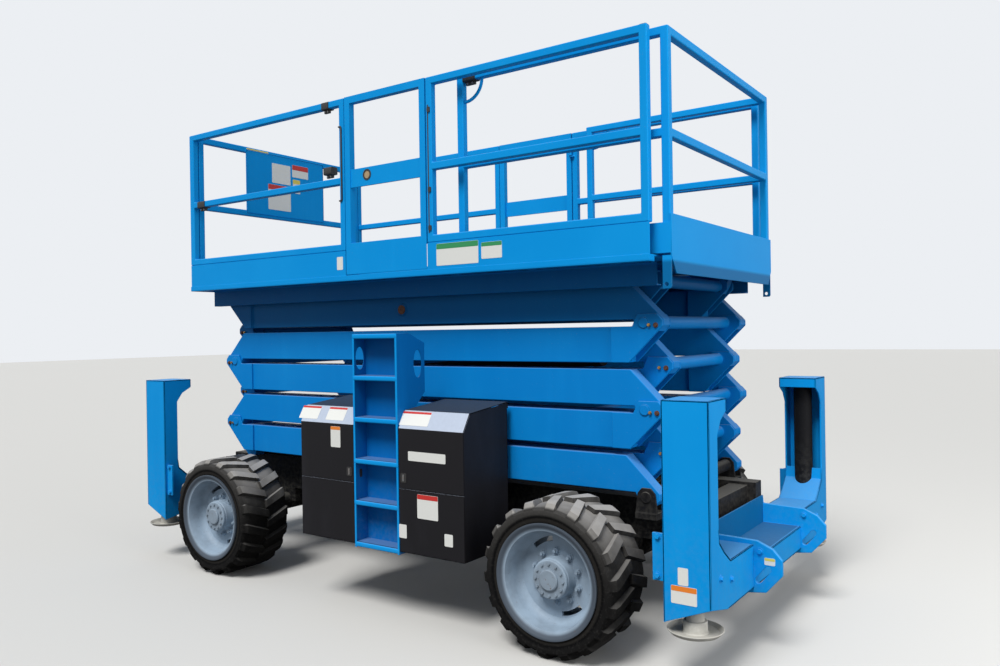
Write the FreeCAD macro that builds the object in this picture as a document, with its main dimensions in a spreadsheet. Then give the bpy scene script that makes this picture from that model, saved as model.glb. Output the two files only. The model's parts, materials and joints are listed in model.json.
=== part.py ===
"""Rough-terrain scissor lift with outriggers, drawn as separate pieces in one frame.

+X is the front, where the wheels steer and the deck extends; the near side is -Y; +Z is up.
The origin is on the ground below the middle of the machine. All sizes are in millimetres.
"""
import FreeCAD, Part
import math
import os
import Sketcher

# Driving dimensions: cell name, value, what it measures
SIZES = [
    ("wheel_base", 2840, "front axle centre to rear axle centre"),
    ("tyre_radius", 415, "ground to axle centre, out to the lug tips"),
    ("tyre_width", 400, "over the sidewalls"),
    ("tyre_face", 1152, "machine centre to outer sidewall"),
    ("tyre_shoulder", 50, "from sidewall in to the tread edge"),
    ("tyre_side_radius", 371, "where the sidewall meets the shoulder"),
    ("rim_lip_radius", 303, "outer edge of the rim"),
    ("rim_seat_radius", 285, "tyre bead seat"),
    ("rim_bore_radius", 250, "inside of the rim barrel"),
    ("rim_disc_depth", 130, "from sidewall in to the wheel disc"),
    ("rim_disc_wall", 16, "wheel disc thickness"),
    ("drum_radius", 112, "hub drum in the middle of the wheel"),
    ("drum_depth", 32, "from sidewall in to the drum's cap"),
    ("spindle_radius", 50, "stub axle that the hub turns on"),
    ("pin_clearance", 0.3, "radial room at pins and bores"),
    ("kingpin_y", 810, "machine centre to steering pivot"),
    ("kingpin_radius", 26, "steering pin"),
    ("axle_boss_radius", 48, "eye at each end of the front axle"),
    ("axle_tube_radius", 65, "axle housing tube"),
    ("axle_bowl_radius", 115, "differential bowl"),
    ("steer_arm", 130, "kingpin to tie rod"),
    ("tie_bar_radius", 17, "tie rod"),
    ("rail_outer", 442, "machine centre to outer face of the main rails"),
    ("rail_width", 110, "main rail"),
    ("rail_bottom", 520, "underside of the main rails"),
    ("frame_reach", 2053, "machine centre to the end frames"),
    ("pin_height", 810, "lowest scissor pins above the ground"),
    ("stage_pitch", 237, "rise from one scissor level to the next, folded"),
    ("front_pin_setback", 273, "end frame to the fixed scissor pins"),
    ("rear_pin_setback", 333, "end frame to the sliding scissor pins, folded"),
    ("arm_depth", 200, "scissor arm height"),
    ("arm_width", 88, "scissor arm thickness"),
    ("arm_tip", 110, "arm end beyond its pin"),
    ("end_tip", 75, "arm end beyond its pin at the chassis and the deck"),
    ("arm_bevel", 200, "length of the slanted arm end"),
    ("fork_plate", 14, "cheek plate of a forked arm end"),
    ("fork_room", 2, "room between cheek plate and the arm that it holds"),
    ("fork_root", 200, "cheek plate length behind the pin"),
    ("fork_setback", 100, "arm end to pin inside a fork"),
    ("pin_radius", 30, "scissor end pins"),
    ("pin_head", 8, "pin standing out of its plate"),
    ("boss_radius", 48, "rounding about an end pin"),
    ("outer_plane", 620, "machine centre to middle of the outer arms"),
    ("inner_plane", 492, "machine centre to middle of the inner arms"),
    ("cross_tube_radius", 38, "tubes that join left and right arms"),
    ("centre_pin_radius", 40, "pins where arms cross"),
    ("collar_radius", 70, "spacer about a centre pin"),
    ("roller_radius", 45, "lower slide rollers"),
    ("deck_roller_radius", 32, "upper slide rollers"),
    ("track_wall", 10, "wall of the roller tracks"),
    ("track_room", 0.5, "roller to track"),
    ("barrel_radius", 75, "lift cylinder barrel"),
    ("piston_rod_radius", 41, "lift cylinder rod"),
    ("eye_radius", 52, "cylinder end eyes"),
    ("eye_width", 90, "cylinder end eyes across the machine"),
    ("barrel_foot_setback", 1100, "arm's end pin to the barrel pin"),
    ("barrel_foot_w", -20, "barrel pin above the middle of its arm"),
    ("rod_eye_setback", 420, "arm's end pin to the rod pin"),
    ("rod_eye_w", -50, "rod pin above the middle of its arm"),
    ("lug_plate", 16, "lugs that hold the cylinders"),
    ("deck_setback", 123, "end frame to the deck's end"),
    ("deck_half_width", 915, "main deck over the toe boards"),
    ("deck_rise", 75, "top scissor pins to the underside of the deck's edge"),
    ("floor_rise", 36, "underside of the deck's edge to the floor"),
    ("floor_wall", 8, "deck floor plate"),
    ("toe_height", 164, "toe boards above the floor"),
    ("toe_wall", 8, "toe board sheet"),
    ("guard_height", 1174, "guardrail above the floor"),
    ("mid_rail_drop", 545, "guardrail's top to the middle of the mid rail"),
    ("tube", 46, "guardrail tube"),
    ("gate_rear", -240, "rear post face of the side entry"),
    ("gate_front", 463, "front post face of the side entry"),
    ("gate_gap", 6, "room round a gate"),
    ("gate_hinge_foot", 130, "toe board to the foot of the lower gate hinge"),
    ("gate_hinge_drop", 180, "guardrail's top to the foot of the upper gate hinge"),
    ("gate_hinge_height", 50, "gate hinge sleeve"),
    ("extension_half_width", 835, "sliding deck"),
    ("extension_rear", 640, "rear end of the sliding deck, closed"),
    ("extension_overhang", 87, "main deck's end to the front face of the sliding deck, closed"),
    ("apron_drop", 98, "floor to the bottom of the front plate"),
    ("apron_rise", 208, "floor to the top of the front plate"),
    ("slide_strip", 3, "strips that the sliding deck rests on"),
    ("cabinet_face", 1150, "machine centre to the cabinets' front"),
    ("cabinet_back", 712, "machine centre to the cabinets' back"),
    ("cabinet_low", 430, "bottom of the cabinets"),
    ("cabinet_split", 808, "lower edge of the hoods"),
    ("cabinet_eave", 1190, "front top edge"),
    ("cabinet_top", 1300, "flat top"),
    ("cabinet_slope", 150, "depth of the slanted top"),
    ("cabinet_wall", 5, "sheet thickness"),
    ("hood_gap", 3, "hood to the cabinet's walls"),
    ("hinge_radius", 11, "hood hinge sleeves"),
    ("hinge_pin_radius", 6, "hood hinge rods"),
    ("ladder_rear", 48, "rear side plate of the ladder"),
    ("ladder_front", 412, "front side plate of the ladder"),
    ("ladder_low", 410, "bottom of the ladder"),
    ("ladder_top", 1720, "top of the ladder"),
    ("ladder_depth", 112, "depth of the steps"),
    ("ladder_wall", 6, "sheet of the ladder"),
    ("leg_depth", 240, "outrigger leg fore and aft"),
    ("leg_face", 1088, "machine centre to outer face of a leg"),
    ("leg_top", 1382, "top of a leg"),
    ("leg_wall", 10, "leg plate"),
    ("jack_y", 985, "machine centre to jack axis"),
    ("jack_tube_radius", 58, "fixed tube of a jack"),
    ("jack_rod_radius", 44, "moving tube of a jack"),
    ("pad_radius", 140, "foot pad"),
    ("pad_bottom", 250, "foot pad above the ground"),
    ("beam_low", 500, "underside of the end beam"),
    ("beam_top", 712, "top of the end beam"),
    ("tow_length", 147, "end frame's outer face to the tips of the tow plates"),
]


class Length:
    """A size together with the cell arithmetic behind it, so that properties can be bound to it."""

    def __init__(self, text, value):
        self.text = text
        self.value = value

    def __add__(self, other):
        return combine("+", self, length(other), self.value + length(other).value)

    def __radd__(self, other):
        return length(other) + self

    def __sub__(self, other):
        return combine("-", self, length(other), self.value - length(other).value)

    def __rsub__(self, other):
        return length(other) - self

    def __mul__(self, other):
        return combine("*", self, length(other), self.value * length(other).value)

    def __rmul__(self, other):
        return length(other) * self

    def __truediv__(self, other):
        return combine("/", self, length(other), self.value / length(other).value)

    def __neg__(self):
        return Length("(0 - %s)" % self.text, -self.value)


def length(amount):
    """Return a plain number as a Length, and a Length as it is."""
    if isinstance(amount, Length):
        return amount
    return Length("(%s)" % float(amount), float(amount))


def combine(sign, left, right, value):
    """Return the Length of two others joined by an arithmetic sign."""
    return Length("(%s %s %s)" % (left.text, sign, right.text), value)


class Sizes:
    """The named cells of the sheet."""


def make_sheet():
    """Write every driving dimension to the sheet and return them by name."""
    sheet = doc.addObject("Spreadsheet::Sheet", "sizes")
    named = Sizes()
    for row, (alias, value, note) in enumerate(SIZES, start=1):
        sheet.set("A%d" % row, alias)
        sheet.set("B%d" % row, str(value))
        sheet.set("C%d" % row, note)
        sheet.setAlias("B%d" % row, alias)
        setattr(named, alias, Length("sizes." + alias, float(value)))
    doc.recompute()
    return named


doc = FreeCAD.newDocument("scissor_lift")
size = make_sheet()
finished = []

TURN = {
    "x": FreeCAD.Rotation(FreeCAD.Vector(0, 1, 0), 90),
    "y": FreeCAD.Rotation(FreeCAD.Vector(1, 0, 0), -90),
    "z": FreeCAD.Rotation(),
}
PLANE_ROLE = {"XZ": "XZ_Plane", "YZ": "YZ_Plane", "XY": "XY_Plane"}
PLANE_NORMAL = {"XZ": "y", "YZ": "x", "XY": "z"}


def bind(thing, prop, amount):
    """Bind a property to a Length."""
    thing.setExpression(prop, length(amount).text)


def place(thing, x, y, z):
    """Bind a thing's position."""
    for axis, amount in (("x", x), ("y", y), ("z", z)):
        bind(thing, "Placement.Base." + axis, amount)


def block(name, x_span, y_span, z_span):
    """Return a box between two faces along each axis."""
    solid = doc.addObject("Part::Box", name)
    for prop, span in (("Length", x_span), ("Width", y_span), ("Height", z_span)):
        bind(solid, prop, length(span[1]) - span[0])
    place(solid, x_span[0], y_span[0], z_span[0])
    return solid


def rod(name, axis, start, reach, radius):
    """Return a cylinder that runs from a point along an axis."""
    solid = doc.addObject("Part::Cylinder", name)
    bind(solid, "Radius", radius)
    bind(solid, "Height", reach)
    solid.Placement = FreeCAD.Placement(FreeCAD.Vector(), TURN[axis])
    place(solid, *start)
    return solid


def draw(body, name, plane, points):
    """Return a closed sketch whose corners are bound, one by one, to Lengths."""
    sketch = body.newObject("Sketcher::SketchObject", name)
    origin_plane = [part for part in body.Origin.OriginFeatures if part.Role == PLANE_ROLE[plane]]
    sketch.AttachmentSupport = [(origin_plane[0], "")]
    sketch.MapMode = "FlatFace"
    corners = [(length(across), length(up)) for across, up in points]
    count = len(corners)
    for index in range(count):
        start = corners[index]
        end = corners[(index + 1) % count]
        sketch.addGeometry(
            Part.LineSegment(
                FreeCAD.Vector(start[0].value, start[1].value, 0),
                FreeCAD.Vector(end[0].value, end[1].value, 0),
            ),
            False,
        )
    for index in range(count):
        following = (index + 1) % count
        sketch.addConstraint(Sketcher.Constraint("Coincident", index, 2, following, 1))
    for index, corner in enumerate(corners):
        for kind, amount in (("DistanceX", corner[0]), ("DistanceY", corner[1])):
            number = sketch.addConstraint(Sketcher.Constraint(kind, -1, 1, index, 1, amount.value))
            label = "%s%d" % (kind, index)
            sketch.renameConstraint(number, label)
            bind(sketch, "Constraints." + label, amount)
    return sketch


def slab(name, plane, points, span):
    """Return a plate: an outline in a plane, thickened between two faces along the plane's normal."""
    body = doc.addObject("PartDesign::Body", name)
    sketch = draw(body, name + "_outline", plane, points)
    pad = body.newObject("PartDesign::Pad", name + "_pad")
    pad.Profile = sketch
    pad.Reversed = plane == "XZ"
    bind(pad, "Length", length(span[1]) - span[0])
    sketch.Visibility = False
    bind(body, "Placement.Base." + PLANE_NORMAL[plane], span[0])
    return body


def spin(name, points, centre):
    """Return a solid turned about an axis along Y: points are (radius, distance along Y)."""
    body = doc.addObject("PartDesign::Body", name)
    sketch = draw(body, name + "_outline", "YZ", [(along, radius) for radius, along in points])
    turn = body.newObject("PartDesign::Revolution", name + "_turn")
    turn.Profile = sketch
    turn.ReferenceAxis = (sketch, ["H_Axis"])
    turn.Angle = 360
    sketch.Visibility = False
    place(body, *centre)
    return body


def join(name, solids):
    """Return touching solids as one."""
    fused = doc.addObject("Part::MultiFuse", name)
    fused.Shapes = solids
    fused.Refine = True
    return fused


def cut(name, base, tools):
    """Return a solid less others."""
    result = doc.addObject("Part::Cut", name)
    result.Base = base
    result.Tool = tools[0] if len(tools) == 1 else join(name + "_tools", tools)
    return result


def group(name, solids):
    """Return like solids that don't touch as one set."""
    result = doc.addObject("Part::Compound", name)
    result.Links = solids
    return result


def mirror(name, source, normal):
    """Return a solid's mirror image across a plane through the origin."""
    image = doc.addObject("Part::Mirroring", name)
    image.Source = source
    image.Normal = normal
    return image


ACROSS = FreeCAD.Vector(0, 1, 0)
ENDWISE = FreeCAD.Vector(1, 0, 0)


def both_sides(name, solid):
    """Return a near-side solid and its far-side image."""
    return [solid, mirror(name + "_far", solid, ACROSS)]


def finish(node, solid):
    """Name a finished piece and keep it for writing."""
    solid.Label = node
    finished.append(solid)


# Places worked out from the sizes
axle_x = size.wheel_base / 2
level = [size.pin_height + size.stage_pitch * number for number in range(6)]
front_pin_x = size.frame_reach - size.front_pin_setback
rear_pin_x = size.rear_pin_setback - size.frame_reach
pin_run = front_pin_x - rear_pin_x
arm_middle_x = front_pin_x - pin_run / 2
half_arm = size.arm_depth / 2
half_pitch = size.stage_pitch / 2
half_run = pin_run / 2
half_width = size.arm_width / 2
fork_inside = half_width + size.fork_room
fork_outside = fork_inside + size.fork_plate
track_top = size.pin_height - size.roller_radius - size.track_room
rail_deck = track_top - size.track_wall
plane_of = {"outer": size.outer_plane, "inner": size.inner_plane}
barrel_foot_u = size.barrel_foot_setback - half_run
rod_eye_u = half_run - size.rod_eye_setback
deck_half_length = size.frame_reach - size.deck_setback
deck_bottom = level[5] + size.deck_rise
floor_top = deck_bottom + size.floor_rise
toe_top = floor_top + size.toe_height
foot_rail = toe_top + size.tube / 2
rail_top = floor_top + size.guard_height
rail_mid = rail_top - size.mid_rail_drop
extension_front = deck_half_length + size.extension_overhang
apron_low = floor_top - size.apron_drop
apron_top = floor_top + size.apron_rise
tow_reach = size.frame_reach + size.leg_depth + size.tow_length


def arm_outline(middle, slope, low_tip):
    """Corners of an arm: a tongue about its low pin, cut square inside the fork at its high pin."""
    across, up = middle
    low = -half_run
    points = [
        (half_run - size.fork_setback, -half_arm),
        (low + 70, -half_arm),
        (low + 40, -half_pitch - size.boss_radius),
        (low - low_tip + 30, -half_pitch - size.boss_radius),
        (low - low_tip, -half_pitch - 15),
        (low - low_tip, -half_pitch + 20),
        (low - low_tip + size.arm_bevel, half_arm),
        (half_run - size.fork_setback, half_arm),
    ]
    return [(across + along * slope, up + height) for along, height in points]


def cheek_outline(middle, slope, high_tip):
    """Corners of the plates that form an arm's fork about its high pin."""
    across, up = middle
    high = half_run
    points = [
        (high - size.fork_root, -half_arm),
        (high + high_tip - size.arm_bevel, -half_arm),
        (high + high_tip, half_pitch - 20),
        (high + high_tip, half_pitch + 15),
        (high + high_tip - 30, half_pitch + size.boss_radius),
        (high - 40, half_pitch + size.boss_radius),
        (high - 70, half_arm),
        (high - size.fork_root, half_arm),
    ]
    return [(across + along * slope, up + height) for along, height in points]


def scissor_arm(family, stage, slope):
    """Add one pair of arms, near and far, joined by their cross tubes.

    A slope of 1 rises towards the front and -1 towards the rear. Each arm is a tongue at its
    low pin and a fork at its high pin, so every stage holds the next in the same way.
    """
    node = "%s_arm_%d" % (family, stage)
    plane = -plane_of[family]
    middle = (arm_middle_x, size.pin_height + size.stage_pitch * (stage - 0.5))
    low_tip = size.end_tip if stage == 1 else size.arm_tip
    high_tip = size.end_tip if stage == 5 else size.arm_tip
    low_x = middle[0] - half_run * slope
    high_x = middle[0] + half_run * slope
    low_z = middle[1] - half_pitch
    high_z = middle[1] + half_pitch
    web = slab(node + "_web", "XZ", arm_outline(middle, slope, low_tip),
               (plane - half_width, plane + half_width))
    head = 0
    if family == "outer":
        head = 46 if stage == 5 else size.pin_head
    root_ends = [high_x - size.fork_root * slope, high_x - size.fork_setback * slope]
    if slope < 0:
        root_ends.reverse()
    solids = [
        web,
        block(node + "_root", root_ends, (plane - fork_inside, plane + fork_inside),
              (middle[1] - half_arm, middle[1] + half_arm)),
        slab(node + "_cheek_out", "XZ", cheek_outline(middle, slope, high_tip),
             (plane - fork_outside, plane - fork_inside)),
        slab(node + "_cheek_in", "XZ", cheek_outline(middle, slope, high_tip),
             (plane + fork_inside, plane + fork_outside)),
        rod(node + "_high_pin", "y", (high_x, plane - fork_outside - head, high_z),
            fork_outside * 2 + head, size.pin_radius),
    ]
    if family == "outer":
        solids += [
            rod(node + "_centre_pin", "y",
                (middle[0], plane - half_width - size.pin_head, middle[1]),
                size.outer_plane - size.inner_plane + size.arm_width + size.pin_head * 2,
                size.centre_pin_radius),
            rod(node + "_collar", "y", (middle[0], plane + half_width, middle[1]),
                size.outer_plane - size.inner_plane - size.arm_width - size.track_room,
                size.collar_radius),
        ]
    solids += arm_extras(node, plane, middle, low_x, low_z, high_x, high_z)
    solid = join(node + "_side", solids)
    holes = []
    if node != "inner_arm_1":
        holes.append(rod(node + "_low_hole", "y", (low_x, plane - size.arm_width, low_z),
                         size.arm_width * 2, size.pin_radius + size.pin_clearance))
    if family == "inner":
        holes.append(rod(node + "_centre_hole", "y", (middle[0], plane - size.arm_width, middle[1]),
                         size.arm_width * 2, size.centre_pin_radius + size.pin_clearance))
    solid = cut(node + "_bored", solid, holes)
    tubes = cross_tubes(node, family, middle, slope, high_x, high_z)
    finish(node, join(node, both_sides(node, solid) + tubes))


def arm_extras(node, plane, middle, low_x, low_z, high_x, high_z):
    """Rollers at the sliding ends, and the hub where the upper fork holds no arm."""
    if node == "inner_arm_1":
        reach = half_width + size.track_room * 12 + 48
        return [
            rod(node + "_stub", "y", (low_x, plane, low_z), reach, size.pin_radius),
            rod(node + "_roller", "y", (low_x, plane + reach - 48, low_z), 48, size.roller_radius),
        ]
    if node == "outer_arm_5":
        return [
            rod(node + "_hub", "y", (high_x, plane - fork_inside, high_z), fork_inside * 2,
                size.boss_radius - 4),
            rod(node + "_roller", "y", (high_x, plane - fork_outside - 46, high_z), 40,
                size.deck_roller_radius),
        ]
    return []


def cross_tubes(node, family, middle, slope, high_x, high_z):
    """Tubes from the near arm to the far one, with the lugs that hold the lift cylinders.

    Only a barrel's lugs have a pin, because a rod's eye runs free between its lugs.
    """
    reach = plane_of[family] - fork_inside
    tubes = [rod(node + "_high_tube", "y", (high_x, -reach, high_z), reach * 2,
                 size.cross_tube_radius)]
    if node in ("inner_arm_1", "inner_arm_3"):
        tubes += lift_lugs(node, barrel_foot_u, size.barrel_foot_w, barrel_foot_u - 130,
                           20, middle, slope)
        reach = size.eye_width / 2 + size.fork_room + size.lug_plate
        tubes.append(rod(node + "_barrel_pin", "y",
                         (middle[0] + barrel_foot_u * slope, -reach,
                          middle[1] + size.barrel_foot_w), reach * 2, size.pin_radius))
    if node in ("inner_arm_2", "inner_arm_4"):
        tubes += lift_lugs(node, -rod_eye_u, size.rod_eye_w, -rod_eye_u + 60, 50, middle,
                           slope)
    return tubes


def lift_cylinder(stage):
    """Add a lift cylinder, its barrel on the inner arm of one stage and its rod on the next."""
    foot_x = arm_middle_x.value + barrel_foot_u.value
    foot_z = level[stage - 1].value + half_pitch.value + size.barrel_foot_w.value
    eye_x = arm_middle_x.value + rod_eye_u.value
    eye_z = level[stage].value + half_pitch.value + size.rod_eye_w.value
    reach = math.hypot(eye_x - foot_x, eye_z - foot_z)
    lean = math.degrees(math.atan2(eye_z - foot_z, eye_x - foot_x))
    frame = FreeCAD.Placement(
        FreeCAD.Vector(foot_x, 0, foot_z), FreeCAD.Rotation(FreeCAD.Vector(0, 1, 0), -lean))
    node = "lower_lift" if stage == 1 else "upper_lift"
    half_eye = size.eye_width / 2
    neck = size.eye_radius + 20
    barrel_end = Length("(%s)" % (reach - 190), reach - 190)
    rod_hole = size.piston_rod_radius + size.pin_clearance
    tube = cut(
        node + "_barrel_body",
        join(node + "_barrel_solids", [
            rod(node + "_barrel_eye", "y", (0, -half_eye, 0), size.eye_width, size.eye_radius),
            rod(node + "_barrel_neck", "x", (0, 0, 0), neck, half_eye - 5),
            rod(node + "_barrel_tube", "x", (neck - 6, 0, 0), barrel_end - neck, size.barrel_radius),
            rod(node + "_gland", "x", (barrel_end - 70, 0, 0), 70, size.barrel_radius + 8),
        ]),
        [
            rod(node + "_bore", "x", (neck + 120, 0, 0), barrel_end, rod_hole),
            rod(node + "_foot_hole", "y", (0, -half_eye - 1, 0), size.eye_width + 2,
                size.pin_radius + size.pin_clearance),
        ])
    tube.Placement = frame
    finish(node + "_barrel", tube)
    ram = join(node + "_rod_body", [
        rod(node + "_ram", "x", (neck + 140, 0, 0), barrel_end + 190 - neck - 150,
            size.piston_rod_radius),
        rod(node + "_rod_eye", "y", (barrel_end + 190, -half_eye, 0), size.eye_width, size.eye_radius),
    ])
    ram.Placement = frame
    finish(node + "_rod", ram)


def lift_lugs(node, offset_u, offset_w, tube_u, tube_w, middle, slope):
    """A cross tube on an inner arm, and the two lugs on it that hold a cylinder's eye."""
    reach = size.inner_plane - half_width
    pin_at = (middle[0] + offset_u * slope, middle[1] + offset_w)
    tube_at = (middle[0] + tube_u * slope, middle[1] + tube_w)
    half_eye = size.eye_width / 2 + size.fork_room
    outline = [
        (pin_at[0] - 40 * slope, pin_at[1] - 40),
        (pin_at[0] + 40 * slope, pin_at[1] - 40),
        (pin_at[0] + 52 * slope, pin_at[1] + 20),
        (tube_at[0] + 30 * slope, tube_at[1] + 36),
        (tube_at[0] - 34 * slope, tube_at[1] + 36),
        (tube_at[0] - 36 * slope, tube_at[1] - 30),
    ]
    return [rod(node + "_lug_tube", "y", (tube_at[0], -reach, tube_at[1]), reach * 2,
                size.cross_tube_radius)] + both_sides(node + "_lug", slab(
                    node + "_lug", "XZ", outline, (-half_eye - size.lug_plate, -half_eye)))


def wheel(corner, front, side):
    """Add one wheel: a tyre and its rim with the hub drum."""
    axle_end = axle_x * front
    centre = (axle_end, 0, size.tyre_radius)
    face = size.tyre_face
    inner_face = face - size.tyre_width
    bead = 12
    tyre_points = [
        (size.rim_seat_radius, face - bead),
        (size.rim_lip_radius, face - bead),
        (size.tyre_side_radius, face),
        (size.tyre_radius, face - size.tyre_shoulder),
        (size.tyre_radius, inner_face + size.tyre_shoulder),
        (size.tyre_side_radius, inner_face),
        (size.rim_lip_radius, inner_face + bead),
        (size.rim_seat_radius, inner_face + bead),
    ]
    disc_out = face - size.rim_disc_depth
    disc_in = disc_out - size.rim_disc_wall
    cap = face - size.drum_depth
    hub_back = size.kingpin_y + 116
    bore = size.spindle_radius + size.pin_clearance
    rim_points = [
        (bore, hub_back),
        (size.drum_radius - 20, hub_back),
        (size.drum_radius - 20, disc_in),
        (size.rim_bore_radius, disc_in),
        (size.rim_bore_radius, inner_face + 8),
        (size.rim_lip_radius, inner_face - 4),
        (size.rim_lip_radius, inner_face + bead),
        (size.rim_seat_radius, inner_face + bead),
        (size.rim_seat_radius, face - bead),
        (size.rim_lip_radius, face - bead),
        (size.rim_lip_radius, face + 4),
        (size.rim_bore_radius + 18, face - 6),
        (size.rim_bore_radius, disc_out + 20),
        (size.rim_bore_radius - 30, disc_out),
        (size.drum_radius, disc_out),
        (size.drum_radius - 6, cap - 12),
        (size.drum_radius - 40, cap - 12),
        (size.drum_radius - 44, cap),
        (0, cap),
        (0, hub_back + 70),
        (bore, hub_back + 70),
    ]
    for kind, points in (("tyre", tyre_points), ("rim", rim_points)):
        node = "%s_%s" % (kind, corner)
        outward = [(radius, along * side) for radius, along in points]
        finish(node, spin(node + "_turned", outward, centre))


def spindle(name, axle_end, side, start):
    """A stub axle that a hub turns on, from a place along Y to inside the hub."""
    end = size.kingpin_y + 116 + 68
    low = start if side > 0 else -end
    return rod(name, "y", (axle_end, low, size.tyre_radius), end - start, size.spindle_radius)


def knuckle(corner, side):
    """Add a steering knuckle: two ears on the kingpin, a plate and the stub axle."""
    node = "knuckle_" + corner
    pivot = size.kingpin_y * side
    hub = size.tyre_radius
    near = size.axle_boss_radius + 8
    plate_y = [pivot + near * side, pivot + (near + 22) * side]
    ear_y = [pivot - 44 * side, pivot + (near + 22) * side]
    if side < 0:
        plate_y.reverse()
        ear_y.reverse()
    width = (axle_x - 60, axle_x + 60)
    solids = [
        block(node + "_plate", width, plate_y, (hub - 110, hub + 110)),
        block(node + "_ear_top", (axle_x - 44, axle_x + 44), ear_y, (hub + 84, hub + 110)),
        block(node + "_ear_low", (axle_x - 44, axle_x + 44), ear_y, (hub - 110, hub - 84)),
        spindle(node + "_spindle", axle_x, side, size.kingpin_y + near + 22),
        rod(node + "_kingpin", "z", (axle_x, pivot, hub - 118), 236, size.kingpin_radius),
        block(node + "_arm", (axle_x - size.steer_arm - 26, axle_x - 40), ear_y, (hub - 110, hub - 84)),
    ]
    finish(node, join(node + "_body", solids))


def axles():
    """Add the front axle, with an eye for each kingpin, and the rear axle with fixed hubs."""
    hub = size.tyre_radius
    half_eye = 80
    tube = size.axle_tube_radius
    boss = size.kingpin_y - 20
    front = [
        rod("front_tube", "y", (axle_x, -boss, hub), boss * 2, tube),
        rod("front_bowl", "y", (axle_x, -90, hub), 180, size.axle_bowl_radius),
        block("front_pivot", (axle_x - 90, axle_x + 90), (-60, 60), (hub, size.rail_bottom + 40)),
        rod("front_nose", "x", (axle_x - 260, 0, hub + 45), 260, 60),
    ]
    for side, word in ((-1, "near"), (1, "far")):
        front.append(rod("front_eye_" + word, "z", (axle_x, size.kingpin_y * side, hub - half_eye),
                         half_eye * 2, size.axle_boss_radius))
    front_solid = join("front_axle_solids", front)
    holes = []
    for side, word in ((-1, "near"), (1, "far")):
        holes.append(rod("front_eye_hole_" + word, "z",
                         (axle_x, size.kingpin_y * side, hub - half_eye - 1), half_eye * 2 + 2,
                         size.kingpin_radius + size.pin_clearance))
    finish("front_axle", cut("front_axle_body", front_solid, holes))
    rear_end = size.kingpin_y + 110
    rear = [
        rod("rear_tube", "y", (-axle_x, -rear_end, hub), rear_end * 2, tube),
        rod("rear_bowl", "y", (-axle_x, -90, hub), 180, size.axle_bowl_radius),
        rod("rear_nose", "x", (-axle_x, 0, hub), 260, 60),
    ]
    for side, word in ((-1, "near"), (1, "far")):
        pad_y = (size.rail_outer - size.rail_width, size.rail_outer)
        if side < 0:
            pad_y = (-size.rail_outer, -size.rail_outer + size.rail_width)
        rear.append(block("rear_pad_" + word, (-axle_x - 100, -axle_x + 100), pad_y,
                          (hub, size.rail_bottom)))
        rear.append(spindle("rear_spindle_" + word, -axle_x, side, rear_end - 5))
    finish("rear_axle", join("rear_axle_body", rear))


def tie_rod():
    """Add the steering tie rod, its ends just above the knuckles' arms."""
    hub = size.tyre_radius
    at = axle_x - size.steer_arm
    up = hub - 84 + size.pin_clearance
    solids = [rod("tie_bar", "y", (at, -size.kingpin_y, up + 26), size.kingpin_y * 2,
                  size.tie_bar_radius)]
    for side, word in ((-1, "near"), (1, "far")):
        solids.append(rod("tie_end_" + word, "z", (at, size.kingpin_y * side, up), 52, 30))
    finish("tie_rod", join("tie_rod_body", solids))


def chassis():
    """Add the main frame: rails, cross members, roller tracks, and lugs for the lowest arms."""
    rail_in = size.rail_outer - size.rail_width
    solids = []
    rail = block("main_rail", (-size.frame_reach, size.frame_reach), (-size.rail_outer, -rail_in),
                 (size.rail_bottom, rail_deck))
    track_web = -size.rail_outer + 54
    track_ends = (rear_pin_x - size.roller_radius - 50, 150)
    track = slab("track", "YZ", [
        (-size.rail_outer, rail_deck),
        (track_web + 8, rail_deck),
        (track_web + 8, size.pin_height * 2 - rail_deck),
        (-size.rail_outer, size.pin_height * 2 - rail_deck),
        (-size.rail_outer, size.pin_height * 2 - track_top),
        (track_web, size.pin_height * 2 - track_top),
        (track_web, track_top),
        (-size.rail_outer, track_top),
    ], track_ends)
    lug_span = (front_pin_x - 65, front_pin_x + 65)
    seat_top = size.pin_height - size.end_tip - 9
    lug_points = [
        (lug_span[0], seat_top),
        (lug_span[1], seat_top),
        (front_pin_x + 52, size.pin_height + 20),
        (front_pin_x + 26, size.pin_height + 50),
        (front_pin_x - 26, size.pin_height + 50),
        (front_pin_x - 52, size.pin_height + 20),
    ]
    outer = -size.outer_plane
    solids += [
        rail,
        track,
        block("lug_seat", lug_span, (outer - fork_outside - 6, -rail_in), (seat_top - 36, seat_top)),
        slab("lug_out", "XZ", lug_points, (outer - fork_outside, outer - fork_inside)),
        slab("lug_in", "XZ", lug_points, (outer + fork_inside, outer + fork_outside)),
        rod("lug_pin", "y", (front_pin_x, outer - fork_outside - size.pin_head, size.pin_height),
            fork_outside * 2 + size.pin_head, size.pin_radius),
    ]
    for number, (start, end) in enumerate(((-400, -300), (-40, 40), (560, 660))):
        solids.append(block("hanger_%d" % number, (start, end),
                            (-size.cabinet_back, -size.rail_outer), (560, 640)))
    solids.append(block("ladder_hanger", (180, 300),
                        (-size.cabinet_face + size.ladder_depth, -size.rail_outer), (560, 640)))
    near = join("chassis_near", solids)
    across = []
    for number, place_x in enumerate((113 - size.frame_reach, -axle_x, -300, 700, axle_x,
                                       size.frame_reach - 113)):
        across.append(block("cross_member_%d" % number, (length(place_x) - 60, length(place_x) + 60),
                            (-rail_in, rail_in), (size.rail_bottom + 40, rail_deck - 20)))
    across.append(rod("lug_tube", "y",
                      (front_pin_x, -size.outer_plane + fork_outside, size.pin_height),
                      (size.outer_plane - fork_outside) * 2, size.cross_tube_radius))
    finish("chassis_frame", join("chassis_body", both_sides("chassis", near) + across))


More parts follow.
